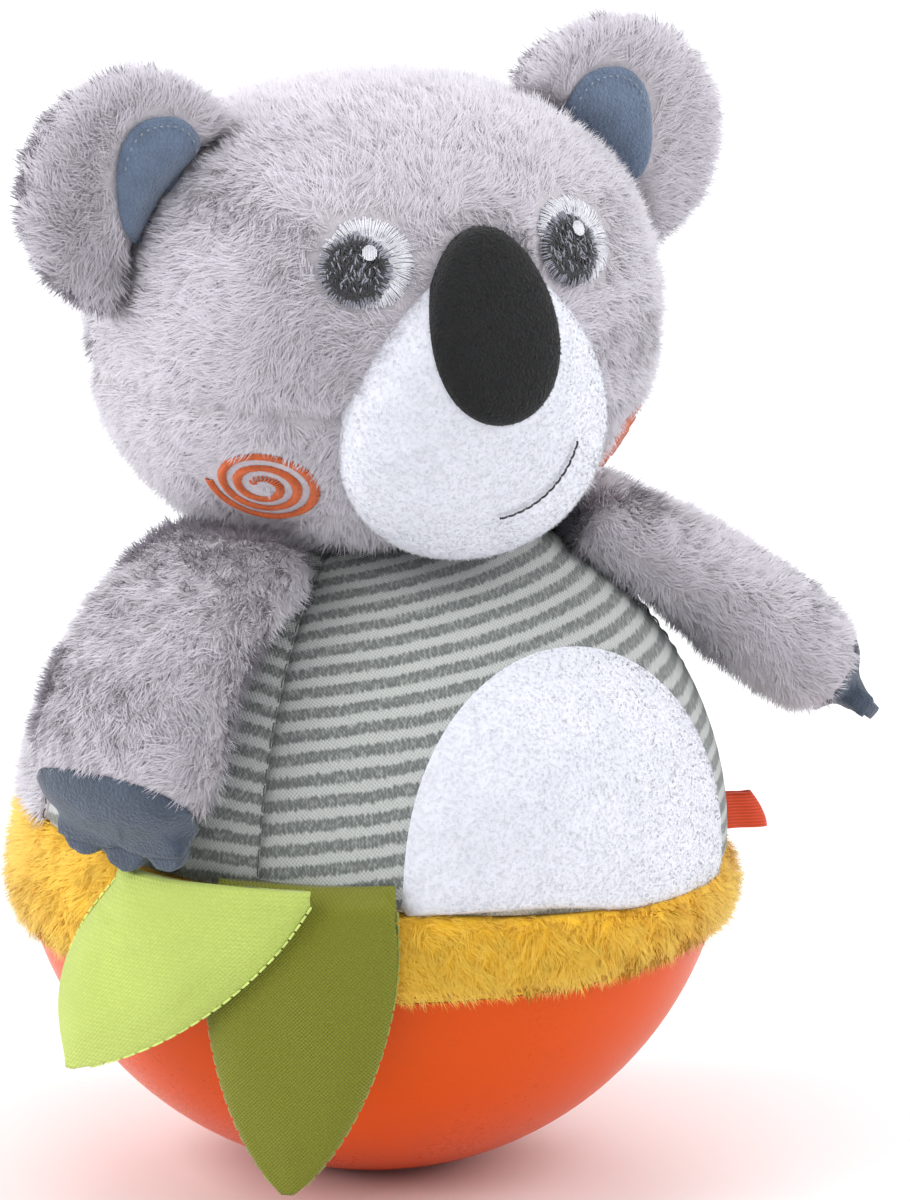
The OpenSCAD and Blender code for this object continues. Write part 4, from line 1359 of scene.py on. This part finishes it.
def nose_egg(name):
    """The felt nose: a flattened egg, wider below, that leans back on the muzzle."""
    high, wide, deep, lean = 15.25 * MM, 10.75 * MM, 4.3 * MM, math.radians(-16)
    middle = Vector((0, -38.4, 5.6)) * MM

    def place(x, y, z):
        flat = math.copysign(abs(y) ** 0.6, y)
        egg = Vector((x * wide * (1 - 0.15 * z), flat * deep, z * high))
        return middle + Matrix.Rotation(lean, 3, "X") @ egg

    return rounded_form(name, 40, 72, place)


def muzzle_pear(name):
    """The muzzle pad's full form, wider below than above."""
    back, drop, half_w, half_d, half_h = -32.25, -8, 22, 10.75, 23.5

    def place(x, y, z):
        return Vector((x * half_w * (1 - 0.16 * z), back + y * half_d, z * half_h + drop)) * MM

    return rounded_form(name, 48, 96, place)


def creased(co, width):
    """How deep the sewn crease of the right cheek is at each point, from 0 to 1."""
    start, full = 14 * MM, 24 * MM
    return np.exp(-(((co[:, 2] - CREASE_Z) / width) ** 2)) * eased(-co[:, 0], start, full)


def nose_tip():
    """A place in front of the nose, from which the fur of the face lies away."""
    before, above = 60 * MM, 4 * MM
    return np.array(HEAD_MIDDLE + turned((0, -before, above), HEAD_TURN))


class KOALA_OT_head(KoalaPiece, bpy.types.Operator):
    """Makes the stuffed head, the velour muzzle and the felt nose"""

    bl_idname = "koala.head"
    bl_label = "Head, muzzle and nose"

    def execute(self, context):
        plush, black = context.scene.koala_plush, context.scene.koala_cloth.black
        crease_width, crease_depth = 1.5 * MM, 1.2 * MM
        skin = finer(stuffed(form_of("head_skin", "head", 2.2 * MM, 5), 0.6 * MM))
        dents = creased(places(skin), crease_width) * crease_depth
        put_places(skin, places(skin) - normals(skin) * dents[:, None])
        dress(skin, grey_skin(plush), "head", ["head"])
        nose = nose_tip()
        muzzle = stuffed(muzzle_pear("muzzle_velour"), 0.4 * MM)
        put_places(muzzle, places(muzzle) + normals(muzzle) * 0.3 * MM)
        groom(muzzle, lambda co: unit(co - nose) + waver(co, 0.6, 500), [("nose", 0.4, 1.0)])
        white_coat(plush, "muzzle_nap", muzzle, "head")
        dress(muzzle, white_velour(plush), "head", ["muzzle"])
        felt = nose_egg("nose_felt")
        groom(felt, lambda co: waver(co, 0.8, 900) + np.array((0, 0, -0.3)))
        # roots dimmed: painted shade between the strands of the fuzz
        fuzz = fur_finish("black_fuzz", dimmed(black, 0.8), black)
        length = plush.nap_length * 0.8
        grown = furred("nose_fuzz", felt, fuzz, plush.nap_spacing, length, ANY_YAW, short_nap(), 0.8)
        dress(grown, fuzz, "head")
        dull = cloth_finish("black_felt", black, FELT_PATCH, FELT_FIBRE, 0.45, FELT_BUMP, 0.12)
        dress(felt, dull, "head", ["nose"])
        return {"FINISHED"}


class KOALA_OT_head_fur(KoalaPiece, bpy.types.Operator):
    """Grows the fur of the head round the muzzle, the nose and the stitching"""

    bl_idname = "koala.head_fur"
    bl_label = "Fur of the head"

    def execute(self, context):
        skin, nose, made = bpy.data.objects["head_skin"], nose_tip(), bpy.data.objects

        def away(co):
            swirl = waver(co, 0.55, 230) + waver(co, 0.4, 410, (2, 0, 1))
            return unit(co - nose) + np.array((0, 0, -0.45)) + swirl

        bare = [(made["muzzle_velour"], 0.0, 0.4), (made["nose_felt"], 0.2, 1.2)]
        bare.append(("torso_stuffing", 0.5, 2.0))
        for name, _ in SIDES:
            bare.append((made[f"{name}_eye_rim"], 0.5, 1.6))
            bare.append((made[f"{name}_cheek_stitches"], 0.5, 1.4))
            bare.append((f"{name}_ear_lining", 1.0, 3.5))
        groom(skin, away, bare, lambda co: 1 - 0.75 * creased(co, 1.3 * MM))
        grey_coat(context.scene.koala_plush, "head_fur", skin, 0.8, "head")
        return {"FINISHED"}


class KOALA_OT_face(KoalaPiece, bpy.types.Operator):
    """Stitches the eyes, the mouth and the cheek spirals"""

    bl_idname = "koala.face"
    bl_label = "Stitched eyes, mouth and cheeks"

    def execute(self, context):
        thread = context.scene.koala_thread
        skin = tree_of(bpy.data.objects["head_skin"])
        fine = thread.thickness * 0.5
        white, grey, black, rust = (
            thread_finish(f"{colour}_thread", getattr(thread, colour))
            for colour in ("white", "grey", "black", "rust")
        )
        for name, side in SIDES:
            self.eye(name, side, skin, fine * 0.75, white, grey, black)
            self.spiral(name, side, skin, fine * 0.95, rust)
        self.mouth(fine * 1.1, black)
        return {"FINISHED"}

    def radial(self, skin, axes, middle, draw, count, inner, outer, lift):
        """Straight stitches that point at a middle, from near one radius to near another, in millimetres."""
        lines = []
        arch = axes[2] * 0.18 * MM
        for k in range(count):
            a = 2 * math.pi * (k + draw.uniform(-0.4, 0.4)) / count
            start, end = draw.uniform(*inner) * MM, draw.uniform(*outer) * MM
            radii = np.linspace(start, end, 4)
            flat = [(middle[0] + math.cos(a) * r, middle[1] + math.sin(a) * r) for r in radii]
            line = laid(skin, axes, flat, lift * MM)
            lines.append([line[0] - arch, line[1] + arch, line[2] + arch, line[3] - arch])
        return lines

    def eye(self, name, side, skin, fine, white, grey, black):
        """A white satin ring, an iris of dark and grey stitches towards the right, and a white glint."""
        draw = random.Random(name)
        axes = facing(side * EYE_LON, EYE_LAT)
        middle, iris, iris_r = (0, 0), (-1.9 * MM, -1.2 * MM), 4.3 * MM
        rim = self.radial(skin, axes, middle, draw, 170, (3.4, 4.8), (6.4, 7.2), 0.4)
        rim += self.radial(skin, axes, middle, draw, 120, (0.8, 2.0), (5.0, 6.2), 0.25)
        sewn(f"{name}_eye_rim", rim, fine, white, "head", [f"{name}_eye_white"])
        pale = self.radial(skin, axes, iris, draw, 110, (3.0, 4.0), (4.9, 5.9), 0.75)
        dark = self.radial(skin, axes, iris, draw, 130, (2.4, 3.6), (4.4, 5.5), 0.85)
        drop, pale_share = axes[2] * 0.2 * MM, 0.22
        for _ in range(420):
            a, r = draw.uniform(0, 2 * math.pi), iris_r * math.sqrt(draw.random())
            x, y = iris[0] + r * math.cos(a), iris[1] + r * math.sin(a)
            tilt, half = draw.gauss(math.pi / 2, 0.45), draw.uniform(0.45, 0.75) * MM
            lift = draw.uniform(0.85, 1.15) * MM
            along, up = math.cos(tilt) * half, math.sin(tilt) * half
            line = laid(skin, axes, [(x + along * k, y + up * k) for k in STITCH_STEPS], lift)
            (pale if draw.random() < pale_share else dark).append(sunk(line, drop))
        sewn(f"{name}_eye_iris", dark, fine, black, "head", [f"{name}_iris"])
        sewn(f"{name}_eye_threads", pale, fine, grey, "head")
        self.glint(name, skin, axes, fine, white)

    def glint(self, name, skin, axes, fine, white):
        """A small white oval of upright stitches over the iris."""
        x_middle, y, apart, half_high, lift = 0.2 * MM, 1.3 * MM, 0.24 * MM, 1.15 * MM, 1.35 * MM
        lines = []
        for k in range(-4, 5):
            x, tall = x_middle + apart * k, half_high * math.sqrt(max(0.1, 1 - (k / 4.6) ** 2))
            flat = [(x, y - tall), (x, y - tall / 3), (x, y + tall / 3), (x, y + tall)]
            lines.append(laid(skin, axes, flat, lift))
        sewn(f"{name}_eye_glint", lines, fine, white, "head")

    def spiral(self, name, side, skin, fine, rust):
        """A cheek's spiral of satin stitches that lie across its line."""
        draw = random.Random(f"{name} cheek")
        axes = facing(-SPIRAL_LON if side < 0 else SPIRAL_LON + LEFT_SPIRAL_SHIFT, SPIRAL_LAT)
        turns, count, flat_share, half_share = 3.0, 400, 0.8, 0.2
        lift, drop = 0.45 * MM, axes[2] * 0.4 * MM
        lines = []
        for k in range(count):
            t = math.sqrt((k + 0.5) / count)
            angle = 2 * math.pi * turns * t
            r = SPIRAL_W / 2 + (SPIRAL_R - SPIRAL_W) * t
            half = SPIRAL_W * half_share * (1 + 0.12 * draw.uniform(-1, 1))
            lean = angle + 0.1 * draw.uniform(-1, 1)
            flat = []
            for step in STITCH_STEPS:
                x = (r + half * step) * math.cos(angle) + 0.15 * half * step * math.cos(lean)
                y = (r + half * step) * math.sin(angle)
                flat.append((side * x, y * flat_share))
            lines.append(sunk(laid(skin, axes, flat, lift), drop))
        sewn(f"{name}_cheek_stitches", lines, fine, rust, "head", [f"{name}_cheek_spiral"])

    def mouth(self, fine, black):
        """A short curved line on the muzzle, in small back stitches."""
        skin = tree_of(bpy.data.objects["muzzle_velour"])
        axes = [turned(a, HEAD_TURN) for a in ((1, 0, 0), (0, 0, 1), (0, -1, 0))]
        x, y, radius, start, sweep, count = -1 * MM, -8.9 * MM, 14.6 * MM, -86, 70, 12
        lift, drop = 0.75 * MM, axes[2] * 0.25 * MM
        lines = []
        for k in range(count):
            turns = [math.radians(start + sweep * (k + share) / count) for share in (0.06, 0.35, 0.65, 0.94)]
            flat = [(x + radius * math.cos(a), y + radius * math.sin(a)) for a in turns]
            lines.append(sunk(laid(skin, axes, flat, lift), drop))
        sewn("mouth_thread", lines, fine, black, "head", ["mouth_stitch"])


class KOALA_OT_ears(KoalaPiece, bpy.types.Operator):
    """Makes the furry ears, their felt linings and the stitches that hold them"""

    bl_idname = "koala.ears"
    bl_label = "Ears"

    def execute(self, context):
        plush, cloth = context.scene.koala_plush, context.scene.koala_cloth
        felt = cloth_finish("slate_felt", cloth.slate, FELT_PATCH, FELT_FIBRE, 0.3, FELT_BUMP)
        pale = thread_finish("pale_thread", context.scene.koala_thread.pale)
        for name, side in SIDES:
            node = f"{name}_ear"
            joint = next(j for j in frame["joints"] if j["child"] == node)
            root = Vector(joint["pos_m"])
            out = turned((side * 0.87, 0, 0.49), HEAD_TURN)
            skin = stuffed(form_of(f"{name}_ear_skin", node, 1.4 * MM, 4), 0.5 * MM)

            def outwards(co, root=root):
                return unit(co - np.array(root)) + waver(co, 0.5, 300)

            lining, stitches = self.lining(name, side, root, skin)
            groom(skin, outwards, [(lining, 0.5, 1.5), ("head", 0.2, 1.2)])
            grown = grey_coat(plush, f"{name}_ear_fur", skin, 0.8, None, 0.95)
            dress(skin, grey_skin(plush), None, [node])
            dress(lining, felt, None, [f"{name}_ear_lining"])
            tacks = sewn(f"{name}_ear_stitches", stitches, 0.13 * MM, pale, None)
            for piece in (grown, skin, lining, tacks):
                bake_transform(piece)
        return {"FINISHED"}

    def lining(self, name, side, root, skin):
        """A rounded felt sheet on the ear's front, and the short stitches just inside its edge."""
        front = turned((0, -1, 0), HEAD_TURN)
        across = turned((side, 0, 0), HEAD_TURN)
        up = Vector((0, 0, 1))
        middle = root + across * 1.2 * MM + up * 4.0 * MM
        spokes, rings, square, before = 72, 16, 2.4, 50 * MM
        under = tree_of(skin)

        def spot(angle, share, lift):
            x, y = math.cos(angle), math.sin(angle)
            reach = (abs(x) ** square + abs(y) ** square) ** (-1 / square) * share
            flat = middle + across * x * LINING_HALF_W * reach + up * y * LINING_HALF_H * reach
            hit, normal, _, _ = under.ray_cast(flat + front * before, -front)
            if hit is None:
                hit, normal, _, _ = under.find_nearest(flat)
            return hit + (normal + front).normalized() * lift * MM

        points = [spot(0, 0, 1.1)]
        for ring in range(1, rings + 1):
            t = ring / rings
            points += [spot(2 * math.pi * k / spokes, t, 1.1 - 0.45 * t**8) for k in range(spokes)]
        faces = []
        for k in range(spokes):
            after = (k + 1) % spokes
            faces.append((0, 1 + k, 1 + after))
            for ring in range(rings - 1):
                a = 1 + ring * spokes
                faces.append((a + k, a + spokes + k, a + spokes + after, a + after))
        if side < 0:
            faces = [f[::-1] for f in faces]
        sheet = piece_from(f"{name}_ear_felt", points, faces)
        stitches = []
        for k in range(7, 38, 2):
            turns = [2 * math.pi * (k + step) / spokes - math.pi / 10 for step in (0.1, 0.3, 0.5, 0.65)]
            stitches.append([spot(a, 0.86, lift) for a, lift in zip(turns, (1.15, 1.3, 1.3, 1.15))])
        return thickened(sheet, LINING_THICK), stitches


class KOALA_OT_arms(KoalaPiece, bpy.types.Operator):
    """Makes the furry arms and their felt claws"""

    bl_idname = "koala.arms"
    bl_label = "Arms and claws"

    def execute(self, context):
        plush, slate = context.scene.koala_plush, context.scene.koala_cloth.slate
        # the claws' felt is the slate felt of the linings dimmed: painted shade under the paws
        felt = cloth_finish("dark_felt", dimmed(slate, 0.42), FELT_PATCH, FELT_FIBRE, 0.3, FELT_BUMP)
        for name in ARM_TURNS:
            node = f"{name}_arm"
            joint = next(j for j in frame["joints"] if j["child"] == node)
            root = Vector(joint["pos_m"])
            paw = sum(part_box(f"{name}_claws"), Vector()) / 2
            along = (paw - root).normalized()
            skin = stuffed(form_of(f"{name}_arm_skin", node, 1.8 * MM, 5), 0.6 * MM)

            def down(co, along=along):
                return np.array(along) + waver(co, 0.5, 280) + waver(co, 0.3, 470, (2, 0, 1))

            claws = form_of(f"{name}_claws_felt", f"{name}_claws", 0.5 * MM, 3)
            strip = self.strip(name, along, paw, skin, claws)
            bare = [(strip, 0.4, 1.2), ("head", 0.3, 1.5), ("belly_panel", 0.3, 1.5)]
            bare += [("right_side_panel", 0.3, 1.5), ("left_side_panel", 0.3, 1.5)]
            bare.append((f"{name}_claws", 0.3, 1.2))
            groom(skin, down, bare)
            grown = grey_coat(plush, f"{name}_arm_fur", skin, 0.8, None)
            dress(skin, grey_skin(plush), None, [node])
            for piece in (grown, skin):
                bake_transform(piece)
            dress(claws, felt, node, [f"{name}_claws"])
            dress(strip, felt, node)
        return {"FINISHED"}

    def strip(self, name, along, paw, skin, claws):
        """The felt above the claws, drawn tight round the paw and over the claws."""
        turn, lean = math.radians(ARM_TURNS[name]), FELT_LEANS[name]
        across = Vector((math.cos(turn), math.sin(turn), 0))
        out = across.cross(along).normalized()
        if out.dot(Vector((math.sin(turn), -math.cos(turn), 0.5))) < 0:
            out = -out
        columns, rows, rounds = 64, 18, 40
        below, tall, bow, inside = 2.7 * MM, 6.1 * MM, 0.5 * MM, 1.5 * MM
        half_turn, before, lift, held_share = 1.5, 40 * MM, 0.3 * MM, 0.3
        under = tree_of(skin, claws)
        spots, ways, reach = [], [], []
        for j in range(rows + 1):
            for i in range(columns + 1):
                u = 2 * i / columns - 1
                spot = paw - along * (tall * j / rows - below - bow * u * u) - out * inside
                round_paw = half_turn * u + lean
                way = out * math.cos(round_paw) + across * math.sin(round_paw)
                hit = under.ray_cast(spot + way * before, -way)[0]
                spots.append(spot)
                ways.append(way)
                reach.append((hit - spot).dot(way) if hit else inside)
        spots, ways = np.array(spots), np.array(ways)
        wide = np.pad(np.array(reach).reshape(rows + 1, columns + 1), 1, mode="edge")
        near = [wide[a : a + rows + 1, b : b + columns + 1] for a in range(3) for b in range(3)]
        least = lift + np.max(near, axis=0)
        reach = least
        for _ in range(rounds):
            wide = np.pad(reach, 1, mode="edge")
            around = wide[2:, 1:-1] + wide[:-2, 1:-1] + wide[1:-1, 2:] + wide[1:-1, :-2]
            reach = np.maximum(least, around / 4)
        hold = eased(np.linspace(0, 1, rows + 1), 0.0, held_share).reshape(-1, 1)
        points = spots + ways * (least + (reach - least) * hold).reshape(-1, 1)
        sheet = piece_from(f"{name}_claws_strip", points.tolist(), grid_faces(rows, columns))
        if np.mean(np.sum(normals(sheet) * ways, axis=1)) < 0:
            sheet.data.flip_normals()
        return thickened(sheet, STRIP_THICK)


class KOALA_PT_panel(bpy.types.Panel):
    """Lists the pieces and the settings of the koala"""

    bl_idname = "KOALA_PT_panel"
    bl_label = "Weighted plush koala"
    bl_space_type = "VIEW_3D"
    bl_region_type = "UI"
    bl_category = "Koala"

    def draw(self, context):
        for group in SETTINGS:
            box = self.layout.box()
            settings = getattr(context.scene, group)
            for name in settings.bl_rna.properties.keys():
                if name not in ("rna_type", "name"):
                    box.prop(settings, name)
        for operator in BUILDERS:
            self.layout.operator(operator.bl_idname)


SETTINGS = {
    "koala_plush": PlushSettings,
    "koala_cloth": ClothSettings,
    "koala_thread": ThreadSettings,
    "koala_hard": HardSettings,
    "koala_stage": StageSettings,
}
BUILDERS = (
    KOALA_OT_stage,
    KOALA_OT_hard_parts,
    KOALA_OT_band,
    KOALA_OT_torso,
    KOALA_OT_tag,
    KOALA_OT_leaves,
    KOALA_OT_head,
    KOALA_OT_face,
    KOALA_OT_head_fur,
    KOALA_OT_ears,
    KOALA_OT_arms,
)


def register():
    for kind in (*SETTINGS.values(), *BUILDERS, KOALA_PT_panel):
        bpy.utils.register_class(kind)
    for name, kind in SETTINGS.items():
        setattr(bpy.types.Scene, name, bpy.props.PointerProperty(type=kind))


def unregister():
    for name in SETTINGS:
        delattr(bpy.types.Scene, name)
    for kind in reversed((*SETTINGS.values(), *BUILDERS, KOALA_PT_panel)):
        bpy.utils.unregister_class(kind)


def main():
    register()
    for operator in BUILDERS:
        group, name = operator.bl_idname.split(".")
        getattr(getattr(bpy.ops, group), name)()


if __name__ == "__main__":
    main()
